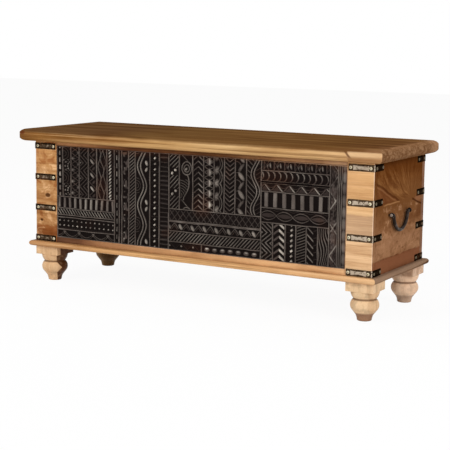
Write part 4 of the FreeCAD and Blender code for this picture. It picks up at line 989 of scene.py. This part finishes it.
def tube(rings, count):
    """Faces of a closed bar: quads between neighbouring rings of points, and one face at each end."""
    faces = []
    for i in range(rings - 1):
        for j in range(count):
            k = (j + 1) % count
            faces.append((i * count + j, i * count + k, (i + 1) * count + k, (i + 1) * count + j))
    return faces + [tuple(range(count))[::-1], tuple((rings - 1) * count + j for j in range(count))]


def strap_stations():
    """Places along a strap's inner line, each with its outward direction, way from the corner and leg."""
    turn = np.linspace(0, math.pi / 2, 6)[1:-1]
    face = [(-s, 0.0, 0.0, -1.0, s, ON_FACE) for s in np.linspace(FACE_LEG, 0, 75)]
    corner = [(0.0, 0.0, math.sin(t), -math.cos(t), 0.0, ON_CORNER) for t in turn]
    return face + corner + [(0.0, s, 1.0, 0.0, s, ON_SIDE) for s in np.linspace(0, SIDE_LEG, 57)]


def strap_forms(reach, leg, seed):
    """The full edge and the raised middle of a strap at one station, from 0 to 1 over its height."""
    rim = np.clip(np.minimum(RISES, STRAP_TALL - RISES) / RIM_WIDTH, 0, 1) ** 0.5
    if leg == ON_CORNER:
        return rim, RISES * 0
    last, far = (FACE_LEG, WAIST_FAR_FACE) if leg == ON_FACE else (SIDE_LEG, WAIST_FAR_SIDE)
    middle, half = (WAIST_NEAR + far) / 2, (far - WAIST_NEAR) / 2
    waist = WAIST_HALF + WAIST_FLARE * ((reach - middle) / half) ** 2
    waist = waist + 0.5 * (soft_noise(reach / 7, RISES / 30, 0, seed) - 0.5)
    swell = np.clip((waist - np.abs(RISES - STRAP_TALL / 2)) / 1.1, 0, 1)
    swell = swell * np.clip(half - abs(reach - middle), 0, 1)
    return rim * np.clip((last - reach) / RIM_WIDTH, 0, 1) ** 0.5, swell * swell * (3 - 2 * swell)


def strap(x_sign, y_sign, bottom, seed):
    """Points and faces of one forged band round a corner, with how bright each point is: wear, a painted
    highlight down the corner and painted shade on the side leg.
    """
    points, wear_and_light = [], []
    for i, (x, y, nx, ny, reach, leg) in enumerate(strap_stations()):
        rim, swell = strap_forms(reach, leg, seed)
        blows = soft_noise(i / 3.1, RISES / 3.3, 0, seed + 1) - 0.5
        bent = soft_noise(i / 14, RISES / 14, 0, seed + 2) - 0.5
        thick = EDGE_THICK + RIM_RISE * rim + SWELL_RISE * swell
        thick = np.clip(thick + BLOW_DEPTH * blows * (0.4 + swell) + BENT_DEPTH * bent, 0.25, 2.0)
        wave = 0.15 * (soft_noise(i / 9.0, seed * 1.7, 0, seed + 3) - 0.5)
        outer = [(x + nx * t, y + ny * t, r + wave * (1 if r > 9 else -1)) for t, r in zip(thick, RISES)]
        points += [(x, y, RISES[0]), (x, y, RISES[-1])] + outer[::-1]
        # At the corner the band is bright with wear and a painted highlight down the corner
        glow = 0.35 + 0.5 * rim if leg == ON_CORNER or reach < 1.5 else 0.34 * rim + 0.62 * swell
        # Painted shade: the leg on the end face is kept much darker than the leg on the front. The bands at
        # the left corners are darker too.
        worn_and_lit = (1.0 if x_sign > 0 else 0.45) * (0.12 if leg == ON_SIDE else 1.0)
        wear_and_light += [0.0, 0.0] + list((glow * worn_and_lit)[::-1])
    count = len(RISES) + 2
    faces = tube(len(points) // count, count)
    if x_sign * y_sign > 0:
        faces = [face[::-1] for face in faces]
    corner = (x_sign * CHEST_END + CHEST_X, y_sign * CHEST_FACE, bottom)
    return np.array(points) * (x_sign, -y_sign, 1) + corner, faces, wear_and_light


def merged(parts):
    """Points, faces and values of several meshes in one."""
    points, faces, values, first = [], [], [], 0
    for part_points, part_faces, part_values in parts:
        points.append(part_points)
        faces += [tuple(first + i for i in face) for face in part_faces]
        values.append(part_values)
        first += len(part_points)
    return np.concatenate(points), faces, np.concatenate(values)


def iron_piece(made, replaced, parts, material, body="root"):
    """Parts joined in one piece, in place of one CAD node."""
    points, faces, wear_and_light = merged(parts)
    piece(made, points, faces, body, material, (replaced,), {"wear_and_light": wear_and_light}, smooth=50)


def straps(material):
    for number, (y_name, y_sign) in enumerate((("front", -1), ("back", 1))):
        for x_name, x_sign in (("left", -1), ("right", 1)):
            seed = 100 + 20 * number + (40 if x_sign > 0 else 0)
            name = f"corner_straps_{y_name}_{x_name}"
            parts = [strap(x_sign, y_sign, level, seed + 5 * row) for row, level in enumerate(STRAP_LEVELS)]
            iron_piece(f"{name}_forged", name, parts, material)


def lathe(profile, sides):
    """A profile of (radius, height) turned round Z, from the lowest middle point to the highest."""
    angles = np.linspace(0, 2 * math.pi, sides, endpoint=False)
    points = [(0.0, 0.0, profile[0][1])]
    for radius, height in profile[1:-1]:
        points += [(radius * math.cos(t), radius * math.sin(t), height) for t in angles]
    points.append((0.0, 0.0, profile[-1][1]))
    faces = []
    rings = len(profile) - 2
    top = 1 + (rings - 1) * sides
    for s in range(sides):
        n = (s + 1) % sides
        faces.append((0, 1 + n, 1 + s))
        for low in range(1, top, sides):
            high = low + sides
            faces.append((low + s, low + n, high + n, high + s))
        faces.append((top + s, top + n, len(points) - 1))
    return np.array(points), faces


def nail_spots():
    """The nails' places on the straps and the directions they look."""
    for x_sign in (-1, 1):
        for y_sign in (-1, 1):
            for level in STRAP_LEVELS:
                middle = level + STRAP_TALL / 2
                for inset in (NAIL_INSET, FACE_LEG - NAIL_FROM_TIP):
                    place = (x_sign * (CHEST_END - inset), y_sign * (CHEST_FACE + STRAP_THICK), middle)
                    yield place, (0, y_sign, 0)
                for inset in (NAIL_INSET, SIDE_LEG - NAIL_FROM_TIP):
                    place = (x_sign * (CHEST_END + STRAP_THICK), y_sign * (CHEST_FACE - inset), middle)
                    yield place, (x_sign, 0, 0)


def nails(material):
    shape, faces = lathe(NAIL_PROFILE, 20)
    tall = shape[:, 2]
    rim = np.clip((tall - 0.5) / 0.8, 0, 1) * np.clip(0.5 + (2.36 - tall) / 0.5, 0, 1)
    parts = []
    for seed, (place, looks) in enumerate(nail_spots(), 1):
        turn = Vector(looks).to_track_quat("Z", "Y").to_matrix()
        dents = 1 + 0.06 * (soft_noise(shape[:, 0] / 2.2, shape[:, 1] / 2.2, tall / 2, seed) - 0.5)
        own = shape * np.stack([dents, dents, np.where(tall > 0.1, 0.9 + 0.1 * dents, 1)], -1)
        own = own @ np.array(turn).T + np.array(place) + (CHEST_X, 0, 0)
        # Painted shade: nails on the end faces are kept darker than those on the front
        parts.append((own, faces, rim * (1.0 if looks[0] == 0 else 0.3)))
    iron_piece("strap_nails_hammered", "strap_nails", parts, material)


HANDLE_Y, HANDLE_Z, PIVOT_X = -13.0, 276.0, 556.3
BAIL_HALF_WIDTH, BAIL_DROP, BAIL_BEND, BAIL_RADIUS = 56.0, 46.0, 9.0, 4.8
BAIL_SIDES, BAIL_NECK_RADIUS = 20, 3.8
STUB_END, STUB_RADIUS, BUTTON_RADIUS, BUTTON_LENGTH = 66.0, 3.0, 4.0, 2.5


def bail_path():
    """Places of the bar's middle across and above the pivots, from front to back, with its radius."""
    tip, neck = -STUB_END, -STUB_END + BUTTON_LENGTH
    steps = [(tip, 0.0, 3.0), (tip + 0.15, 0.0, 3.7), (tip + 0.6, 0.0, BUTTON_RADIUS),
             (neck - 0.5, 0.0, BUTTON_RADIUS), (neck - 0.05, 0.0, 3.6), (neck, 0.0, STUB_RADIUS),
             (-BAIL_HALF_WIDTH - 2, 0.0, STUB_RADIUS), (-BAIL_HALF_WIDTH - 0.6, 0.0, 3.4)]
    reach = (BAIL_HALF_WIDTH ** 2 + BAIL_DROP ** 2) / (BAIL_DROP * 2)
    knee = math.atan2(reach - BAIL_DROP, BAIL_HALF_WIDTH)
    for share in np.linspace(0, 1, 9):
        t = math.pi / 2 + (knee - math.pi / 2) * share
        steps.append((-BAIL_HALF_WIDTH + BAIL_BEND * math.cos(t), -BAIL_BEND + BAIL_BEND * math.sin(t),
                      BAIL_NECK_RADIUS + (BAIL_RADIUS - BAIL_NECK_RADIUS) * min(1.0, share * 1.6)))
    big = reach - BAIL_BEND
    for t in np.linspace(math.pi + knee, math.pi * 1.5, 17)[1:]:
        steps.append((big * math.cos(t), big - BAIL_DROP + big * math.sin(t), BAIL_RADIUS))
    return steps + [(-y, z, radius) for y, z, radius in steps[:-1]][::-1]


def bail(side_name, side, material):
    """A drop handle: a bar with buttons at its ends, hammered where it is thickest, with a painted highlight
    on the buttons.
    """
    path = bail_path()
    around = np.linspace(0, 2 * math.pi, BAIL_SIDES, endpoint=False)
    rings, wear_and_light = [], []
    for i, (y, z, radius) in enumerate(path):
        before, after = path[max(i - 1, 0)], path[min(i + 1, len(path) - 1)]
        along_y, along_z = after[0] - before[0], after[1] - before[1]
        length = math.hypot(along_y, along_z)
        marks = soft_noise(np.cos(around) * 1.2 + 5, np.sin(around) * 1.2 + 5, i / 2.2, 301 + side) - 0.5
        own = radius * (1 + 0.06 * marks) if radius == BAIL_RADIUS else np.full(BAIL_SIDES, radius)
        outward = np.sin(around) * own
        rings.append(np.stack([np.cos(around) * own, y - along_z / length * outward,
                               z + along_y / length * outward], -1))
        # Painted highlight: the buttons at the ends are much brighter, a glint on each
        wear_and_light.append(0.4 + marks + (1.2 if abs(y) > STUB_END - BUTTON_LENGTH else 0.0))
    points = np.concatenate(rings) + (side * PIVOT_X + CHEST_X, HANDLE_Y, HANDLE_Z)
    faces = [face[::-1] for face in tube(len(path), BAIL_SIDES)]
    name = f"handle_bail_{side_name}"
    parts = [(points, faces, np.concatenate(wear_and_light))]
    iron_piece(f"{name}_forged", name, parts, material, f"bail_{side_name}")


def iron(name, dark, middle, worn_and_lit, roughness, metallic, seed=0.0, wear=1.0, shine=0.1, blotched=1.1):
    """Forged iron: dark scale and wax, lighter by the values on each point: wear on what stands out, and the
    painted highlights and shade that the pieces set.
    """
    graph = Graph(name)
    wear_and_light = graph.attribute("wear_and_light")
    patches = graph.noise(60.0, (seed, 1.0, 2.0), detail=4.0)
    fine = graph.noise(420.0, (seed, 3.0, 8.0), detail=3.0)
    pits = graph.noise(900.0, (seed, 9.0, 4.0))
    blotch = graph.noise(130.0, (seed, 5.0, 6.0), detail=5.0, rough=0.65) - 0.5
    share = (wear_and_light * (0.56 + patches * 0.8 + blotch * blotched) + (fine - 0.5) * 0.3) * wear
    colour = graph.colours(share, [(0.08, srgb(*dark)), (0.42, srgb(*middle)), (0.85, srgb(*worn_and_lit))])
    rust = graph.noise(35.0, (seed, 12.0, 6.0), detail=4.0).ramp(0.52, 0.7)
    colour = graph.mix(rust * 0.4, colour, srgb(96, 58, 36))
    rough = roughness + (fine - 0.5) * 0.2 + (patches - 0.5) * 0.15
    dents = fine * 0.6 + pits * 0.4
    return graph.finish(colour, rough, dents, depth=0.12, Metallic=metallic, Specular_IOR_Level=shine)


# Woods of the single pieces. Places are in the frame, so the chest's own are CHEST_X to the right.

# Tones over a length, or over the height from the floor: a place and a colour from 0 to 255
NOSE_TONES = [(-584, (128, 86, 46)), (-500, (150, 103, 54)), (-400, (136, 92, 48)), (-300, (156, 110, 62)),
              (-150, (186, 143, 90)), (0, (194, 152, 100)), (150, (202, 164, 114)), (300, (202, 160, 108)),
              (450, (216, 174, 124)), (584, (206, 160, 112))]
# The lid top's tones: the wood's tone with painted shade of the top
TOP_WOOD_AND_SHADE_TONES = [(-584, (126, 92, 56)), (-530, (106, 76, 47)), (-300, (98, 68, 42)), (-150, (112, 80, 45)),
             (250, (112, 78, 43)), (420, (102, 68, 35)), (530, (106, 70, 40)), (584, (128, 90, 60))]
END_TONES = [(122, (124, 78, 52)), (160, (127, 80, 54)), (162, (150, 108, 76)), (200, (150, 108, 77)),
             (250, (128, 86, 54)), (296, (112, 71, 39)), (340, (114, 72, 39)), (385, (100, 57, 24)),
             (421, (88, 48, 18))]
STILE_SIDE_TONES = [(122, (124, 78, 52)), (160, (126, 80, 54)), (163, (150, 110, 79)), (230, (140, 99, 68)),
                    (276, (126, 86, 55)), (340, (110, 69, 37)), (385, (98, 57, 25)), (421, (84, 46, 17))]
PLINTH_TONES = [(-560, (184, 134, 88)), (-300, (204, 154, 102)), (0, (228, 178, 122)), (420, (212, 162, 113)),
                (569, (222, 176, 128))]
TOP_RAIL_TONES = [(-465, (206, 150, 102)), (-330, (176, 122, 78)), (-190, (104, 62, 34)),
                  (100, (108, 68, 36)), (300, (172, 126, 84)), (476, (196, 154, 116))]
BOTTOM_RAIL_TONES = [(-465, (96, 62, 42)), (-390, (120, 80, 54)), (-300, (172, 122, 82)),
                     (0, (200, 150, 102)), (250, (226, 176, 124)), (476, (232, 184, 134))]
RIGHT_STILE_BANDS = [(122, (228, 188, 144)), (228, (226, 184, 140)), (236, (188, 150, 115)),
                     (280, (190, 151, 115)), (286, (226, 182, 132)), (305, (220, 173, 122)),
                     (421, (213, 164, 112))]
LEFT_STILE_BANDS = [(122, (150, 92, 54)), (166, (158, 100, 58)), (174, (186, 136, 88)), (300, (190, 140, 90)),
                    (421, (196, 143, 90))]
LEFT_STILE_KNOTS = [((-497.7, -176, 261), (9, 40, 6)), ((-521, -176, 185), (5, 40, 4))]
# Places and sizes of the dark marks on the end boards
END_MARKS = ((-10, 196, 5, 3), (30, 175, 8, 2.4), (138, 262, 16, 22), (76, 236, 10, 5))


def nose_tone(graph, x, z, patch):
    """The lid's front nose: light, with streaks, a pale patch, a dark slanting vee by the right end and
    painted light on its lower half by the left end.
    """
    front = along(graph, "X", NOSE_TONES, wobble=50)
    streak = graph.noise((1.6, 40.0, 150.0), (2.0, 5.0, 1.0), detail=4.0, rough=0.62, twist=0.3)
    # Painted light: the lower half of the nose by the left end is painted paler against the shade under its
    # curve
    lower_nose_painted_light = z.ramp(438.0, 427.0) * x.ramp(-540.0, -380.0) * streak.ramp(0.3, 0.5)
    slant = x - 480.0 - (449.0 - z) * 0.9
    return graph.over(
        front,
        (streak.ramp(0.5, 0.36) * 0.62, (118, 78, 38)), (streak.ramp(0.54, 0.68) * 0.5, (232, 194, 142)),
        (lower_nose_painted_light * 0.36, (240, 192, 132)), (patch * 0.6, (216, 178, 136)),
        (patch * z.ramp(442.0, 430.0) * 0.75, (162, 116, 74)),
        (abs(slant).ramp(6.0, 1.5) * z.ramp(430.0, 438.0) * 0.8, (92, 52, 30)))


def lid_tone(graph):
    """Dark on the top, where the wood's tone is painted darker still as painted shade, and light on the front
    nose, with a pale sapwood patch by the right end. The ends show darker, mottled end grain."""
    x, y, z = graph.axes("XYZ")
    wobble = graph.noise(14.0, (3.0, 1.0, 2.0), detail=3.0) - 0.5
    patch = (x + wobble * 20.0).ramp(484.0, 490.0) * z.ramp(451.5, 448.5)
    strand = graph.noise((0.8, 24.0, 24.0), (4.0, 2.0, 7.0), detail=5.0, rough=0.6, twist=0.3)
    # Painted shade: the top is painted darker than its wood, against the light nose
    top = graph.over(along(graph, "X", TOP_WOOD_AND_SHADE_TONES, wobble=90, seed=3.0),
                     (strand.ramp(0.5, 0.36) * 0.6, (74, 46, 22)),
                     (strand.ramp(0.53, 0.68) * 0.45, (150, 112, 66)))
    over_nose = (z + wobble * 5.0 - patch * 3.0).ramp(442.5, 453.0)
    colour = graph.mix(over_nose, nose_tone(graph, x, z, patch), top)
    whorl = graph.noise((90.0, 44.0, 90.0), (8.0, 3.0, 5.0), detail=4.0, rough=0.6, twist=1.2)
    end = graph.over(painted(108, 73, 46), (whorl.ramp(0.34, 0.66), (146, 110, 79)),
                     (z.ramp(436.0, 424.0) * 0.35, (96, 62, 38)),
                     (z.ramp(446.0, 456.0) * 0.45, (146, 106, 72)),
                     (y.ramp(120.0, 185.0) * 0.6, (178, 138, 104)))
    past_corner = (abs(y) - 185.0).most(0.0)
    colour = graph.mix((x - 567.5 - past_corner).ramp(-2.0, 1.5), colour, end)
    spot = graph.distance((-571, -200, 446), (9, 12, 6)).ramp(1.3, 0.5)
    colour = graph.over(colour, (spot * 0.7, (96, 40, 22)))
    under = graph.noise((1.4, 60.0, 60.0), (1.0, 8.0, 3.0), detail=4.0, rough=0.6, twist=0.3)
    under = graph.over(painted(140, 98, 58), (under.ramp(0.36, 0.64), (182, 138, 90)))
    return graph.mix(z.ramp(424.0, 422.0), colour, under)


def stile_tone(side, bands, patchy=0.0):
    """Bands over the height, fine level grain, a light line down the outer corner that is wear and a painted
    highlight, and a side face as dark as the end boards: their tone and painted shade. Patchy is the share of
    redder and paler patches."""
    def tone(graph):
        x = graph.axis("X", side)
        colour = along(graph, "Z", bands, wobble=9.0, wave=22.0, seed=5.0)
        if patchy:
            patch = graph.noise((26.0, 26.0, 34.0), (side, 2.0, 6.0), detail=4.0, rough=0.6, twist=0.8)
            colour = graph.over(colour, (patch.ramp(0.5, 0.34) * patchy, (150, 88, 44)),
                                (patch.ramp(0.53, 0.68) * patchy, (236, 188, 138)))
        streak = graph.noise((4.0, 60.0, 190.0), (side, 7.0, 2.0), detail=4.0, rough=0.6, twist=0.5)
        # The light line down the corner is wear and a painted highlight
        corner = CHEST_END + side * CHEST_X
        colour = graph.over(colour, (streak.ramp(0.5, 0.36) * 0.3, (176, 122, 74)),
                            (streak.ramp(0.54, 0.68) * 0.22, (244, 204, 158)),
                            (x.ramp(corner - 3.2, corner - 1.2) * 0.75, (238, 206, 176)))
        # The side face: the end boards' tone and painted shade of the face turned from the light
        darker_side = along(graph, "Z", STILE_SIDE_TONES, wobble=12.0, seed=2.0)
        return graph.mix(x.ramp(corner - 0.5, corner - 0.2), colour, darker_side)
    return tone


def end_tone(graph):
    """The end boards: darker to the top, with a feathered crotch figure that fans out from one point, a dark
    slanting line that meets a light level one, and an old knot by the back edge."""
    wobble = (graph.noise(11.0, (6.0, 1.0, 2.0), detail=3.0) - 0.5) * 22.0
    y = graph.axis("Y") + wobble
    z = graph.axis("Z") + wobble * 0.5
    across, up = y - 86.0, z - 300.0
    reach = graph.length(graph.join(across, up))
    angle = up.math("ARCTAN2", across)
    streak = graph.noise_at(graph.join(angle * 10.0 + reach * 0.014, reach * 0.014), detail=5.0, rough=0.65)
    upper = up.ramp(0.0, 16.0) * reach.ramp(6.0, 40.0)
    golden = streak.ramp(0.46, 0.66) * upper * y.ramp(150.0, 40.0) * z.ramp(418.0, 350.0)
    low_streak = graph.noise((10.0, 26.0, 40.0), (2.0, 6.0, 3.0), detail=5.0, rough=0.62, twist=1.1)
    lower = up.ramp(6.0, -14.0) * z.ramp(160.0, 163.0)
    slant = (z - 305.4 + (y + 6.4) * 0.405) * 0.93
    left = y.ramp(2.0, -8.0)
    level = abs(z - 303.6).ramp(3.2, 0.6) * y.ramp(-118.0, -96.0) * y.ramp(4.0, -6.0)
    knot = graph.distance((CHEST_END, 134, 300), (900, 30, 9)).ramp(1.15, 0.7)
    arc = abs(z - 301.0 + (y - 88.0) * 0.27).ramp(4.4, 1.0) * y.ramp(82.0, 92.0)
    colour = graph.over(
        along(graph, "Z", END_TONES, wobble=16, seed=2.0),
        (golden * 0.6, (152, 105, 60)), (streak.ramp(0.52, 0.34) * upper * 0.42, (76, 38, 12)),
        (low_streak.ramp(0.52, 0.68) * lower * 0.55, (182, 138, 102)),
        (low_streak.ramp(0.48, 0.34) * lower * 0.5, (98, 60, 34)),
        (slant.ramp(2.0, -6.0) * left * z.ramp(302.0, 308.0) * 0.5, (98, 52, 28)),
        (abs(slant).ramp(5.0, 1.0) * left * 0.65, (66, 30, 10)),
        (abs(slant + 7.0).ramp(4.0, 0.5) * left * z.ramp(304.0, 310.0) * 0.4, (150, 104, 66)),
        (level * 0.7, (166, 120, 76)), (knot * 0.6, (142, 96, 68)), (arc * 0.8, (60, 28, 10)))
    for spot_y, spot_z, wide, tall in END_MARKS:
        mark = graph.distance((CHEST_END, spot_y, spot_z), (900, wide, tall)).ramp(1.4, 0.5)
        colour = graph.over(colour, (mark * 0.55, (92, 52, 28)))
    return colour


def foot_tone(pale, darker_side, boundary, turn=0.0, cup=None, block=None):
    """A paler and a darker part on either side of a line, a dark line round the neck, a darker cup and a
    darker block.
    """
    def tone(graph):
        x, y, z = graph.axes("XYZ")
        across = x * math.cos(turn) + y * math.sin(turn) - boundary
        if turn:
            across = across - (1.0 - abs(z - 42.0) * (1.0 / 16.0)).most(0.0) * 15.0
            across = across - z.ramp(80.5, 81.5) * 12.0
        blotch = graph.noise(55.0, (boundary, 1.0, 2.0), detail=4.0)
        darker = tuple(channel * 0.72 for channel in pale)
        layers = [(across.ramp(-0.8, 0.8), darker_side), (blotch.ramp(0.5, 0.35) * 0.35, darker),
                  (abs(z - 59.5).ramp(4.2, 1.0) * 0.75, (92, 56, 30))]
        if cup:
            layers.append((z.ramp(26.0, 19.0) * 0.9, cup))
        if block:
            layers.append((z.ramp(78.0, 82.0) * blotch.ramp(0.3, 0.6), block))
        return graph.over(painted(*pale), *layers)
    return tone


def rail_tone(stops):
    """The narrow rails: a thin pinkish painted highlight along the lower one's top edge, a dark line under the
    upper one, and painted shade on the upper one's left part.
    """
    def tone(graph):
        x, z = graph.axes("XZ")
        # Painted highlight: a thin pinkish line along the lower rail's top edge
        line = abs(z - PANEL_BOTTOM).ramp(3.4, 1.6) * x.ramp(-380.0, -120.0)
        gap = abs(z - PANEL_TOP).ramp(2.6, 1.0)
        shaded = z.ramp(418.0, 411.0) * z.ramp(400.0, 405.0) * x.ramp(-180.0, -320.0)
        return graph.over(along(graph, "X", stops, wobble=50.0), (line * 0.4, (216, 166, 130)),
                          (gap * 0.7, (74, 42, 22)), (shaded * 0.6, (62, 34, 18)))
    return tone


def plinth_tone(graph):
    """The front of the plinth, lighter to the right, with a darker upper edge."""
    top = graph.axis("Z").ramp(120.8, 121.6)
    streak = graph.noise((2.0, 60.0, 160.0), (6.0, 5.0, 1.0), detail=4.0, rough=0.62)
    return graph.over(along(graph, "X", PLINTH_TONES, wobble=80), (top * 0.4, (150, 104, 64)),
                      (streak.ramp(0.48, 0.34) * 0.5, (124, 82, 44)),
                      (streak.ramp(0.56, 0.7) * 0.4, (238, 200, 152)))


camera()
floor()
world()
lamp("key", (-1.6, -3.6, 2.6), size=2.2, watts=76)
lamp("fill", (3.4, -1.6, 1.8), size=2.2, watts=69)
lamp("top", (0.2, 0.6, 3.4), size=2.6, watts=30)
bpy.context.scene.view_settings.view_transform = "Standard"

side_wood = wood("side_wood", end_tone, "Y", seed=4.0, contrast=0.5, ring_share=0.12, blotch=0.8, fibre=0.3,
                 shine=0.0)
inner_wood = wood("inner_wood", painted(150, 108, 66), "X", seed=8.0, gloss=0.6)
back_wood = wood("back_wood", painted(118, 76, 44), "X", seed=9.0, contrast=1.2)
lid_wood = wood("lid_wood", lid_tone, "X", seed=1.0, contrast=0.7, gloss=0.4, shine=0.0)
batten_wood = wood("batten_wood", painted(160, 112, 66), "Y", seed=12.0, gloss=0.6)
plinth_long = wood("plinth_long", plinth_tone, "X", seed=14.0, contrast=0.8)
plinth_cross = wood("plinth_cross", painted(138, 110, 88), "Y", seed=15.0, contrast=1.5, shine=0.0)
top_rail = wood("top_rail", rail_tone(TOP_RAIL_TONES), "X", seed=16.0, contrast=0.8)
bottom_rail = wood("bottom_rail", rail_tone(BOTTOM_RAIL_TONES), "X", seed=19.0, contrast=0.8)
right_stile = wood("right_stile", stile_tone(1, RIGHT_STILE_BANDS), "X", seed=17.0, contrast=0.8, dirt=0.12,
                   shine=0.0)
left_stile = wood("left_stile", stile_tone(-1, LEFT_STILE_BANDS, patchy=0.8), "X", seed=18.0, contrast=1.1,
                  dirt=0.12, shine=0.0, knots=LEFT_STILE_KNOTS)
# The darker part of the front left foot starts this far out, on a line square to the turn of its tone
BOUNDARY_TURN = math.radians(29.9)
DARK_BOUNDARY = (519.5 - 1021.0) * math.cos(BOUNDARY_TURN) - 139.0 * math.sin(BOUNDARY_TURN) + 10.0
front_right_tone = foot_tone((230, 196, 155), (218, 182, 142), 541.0, cup=(140, 102, 78))
# The back right foot is painted paler than the front right one, painted light against the shade under the
# plinth, and its block darker again, painted shade right under the plinth
back_right_tone = foot_tone((250, 216, 184), (236, 200, 168), 530.0, cup=(180, 152, 130),
                            block=(190, 154, 126))
front_left_tone = foot_tone((228, 188, 144), (92, 56, 32), DARK_BOUNDARY, BOUNDARY_TURN)
# The back left foot is painted darker than the other feet: painted shade deep under the chest
back_left_tone = foot_tone((132, 100, 62), (120, 90, 56), -500.0)
foot_front_right = wood("foot_front_right", front_right_tone, "Z", seed=21.0, contrast=0.5)
foot_back_right = wood("foot_back_right", back_right_tone, "Z", seed=22.0, contrast=0.5)
foot_front_left = wood("foot_front_left", front_left_tone, "Z", seed=23.0, contrast=0.6)
foot_back_left = wood("foot_back_left", back_left_tone, "Z", seed=24.0)
strap_iron = iron("strap_iron", (20, 12, 5), (84, 67, 50), (186, 170, 150), roughness=0.55,
                  metallic=0.0, shine=0.0, blotched=3.6)
bail_iron = iron("bail_iron", (30, 24, 20), (58, 49, 43), (160, 148, 136), roughness=0.42,
                 metallic=0.12, seed=5.0, wear=0.7, shine=0.05)
hinge_iron = iron("hinge_iron", (28, 24, 22), (52, 46, 42), (96, 88, 80), roughness=0.5,
                  metallic=0.5, seed=7.0)
steel = iron("steel", (90, 86, 80), (120, 116, 110), (160, 156, 150), roughness=0.4, metallic=0.7, seed=9.0)
brass = iron("brass", (52, 42, 30), (140, 126, 98), (224, 214, 184), roughness=0.4, metallic=0.15, seed=11.0)

# The material of each CAD node by the start of its name; the first that fits counts
MATERIALS = [
    ("lid_board", lid_wood), ("lid_batten_screws", steel), ("lid_batten", batten_wood),
    ("hinge_chest_screws", steel), ("hinge_lid_screws", steel), ("hinge", hinge_iron),
    ("plinth_screws", steel), ("plinth_front", plinth_long), ("plinth_back", plinth_long),
    ("plinth", plinth_cross), ("foot_front_right", foot_front_right), ("foot_back_right", foot_back_right),
    ("foot_front_left", foot_front_left), ("foot_back_left", foot_back_left), ("handle", bail_iron),
    ("back_board", back_wood),
]
carved_dark = carved_material("carved_dark", srgb(17, 10, 8), srgb(86, 74, 69), srgb(208, 198, 184))
for name in ("carved_block_1", "carved_block_2", "carved_block_3", "carved_block_4", "carved_end_strip"):
    carved_block(name, carved_dark)
cad_board("front_stile_left", left_stile, seed=31, radius=1.6)
cad_board("front_stile_right", right_stile, seed=32, radius=1.6)
cad_board("front_rail_top", top_rail, seed=33, radius=0.7)
cad_board("front_rail_bottom", bottom_rail, seed=34, radius=0.7)
for side_name in ("left", "right"):
    for level in ("lower", "upper"):
        cad_board(f"side_board_{side_name}_{level}", side_wood, seed=35, radius=0.5)
straps(strap_iron)
nails(brass)
bail("left", -1, bail_iron)
bail("right", 1, bail_iron)

for name, thing in nodes.items():
    chosen = [material for start, material in MATERIALS if name.startswith(start)]
    thing.data.materials.clear()
    thing.data.materials.append(chosen[0] if chosen else inner_wood)
    thing.data.shade_smooth()
    thing.data.set_sharp_from_angle(angle=math.radians(35))
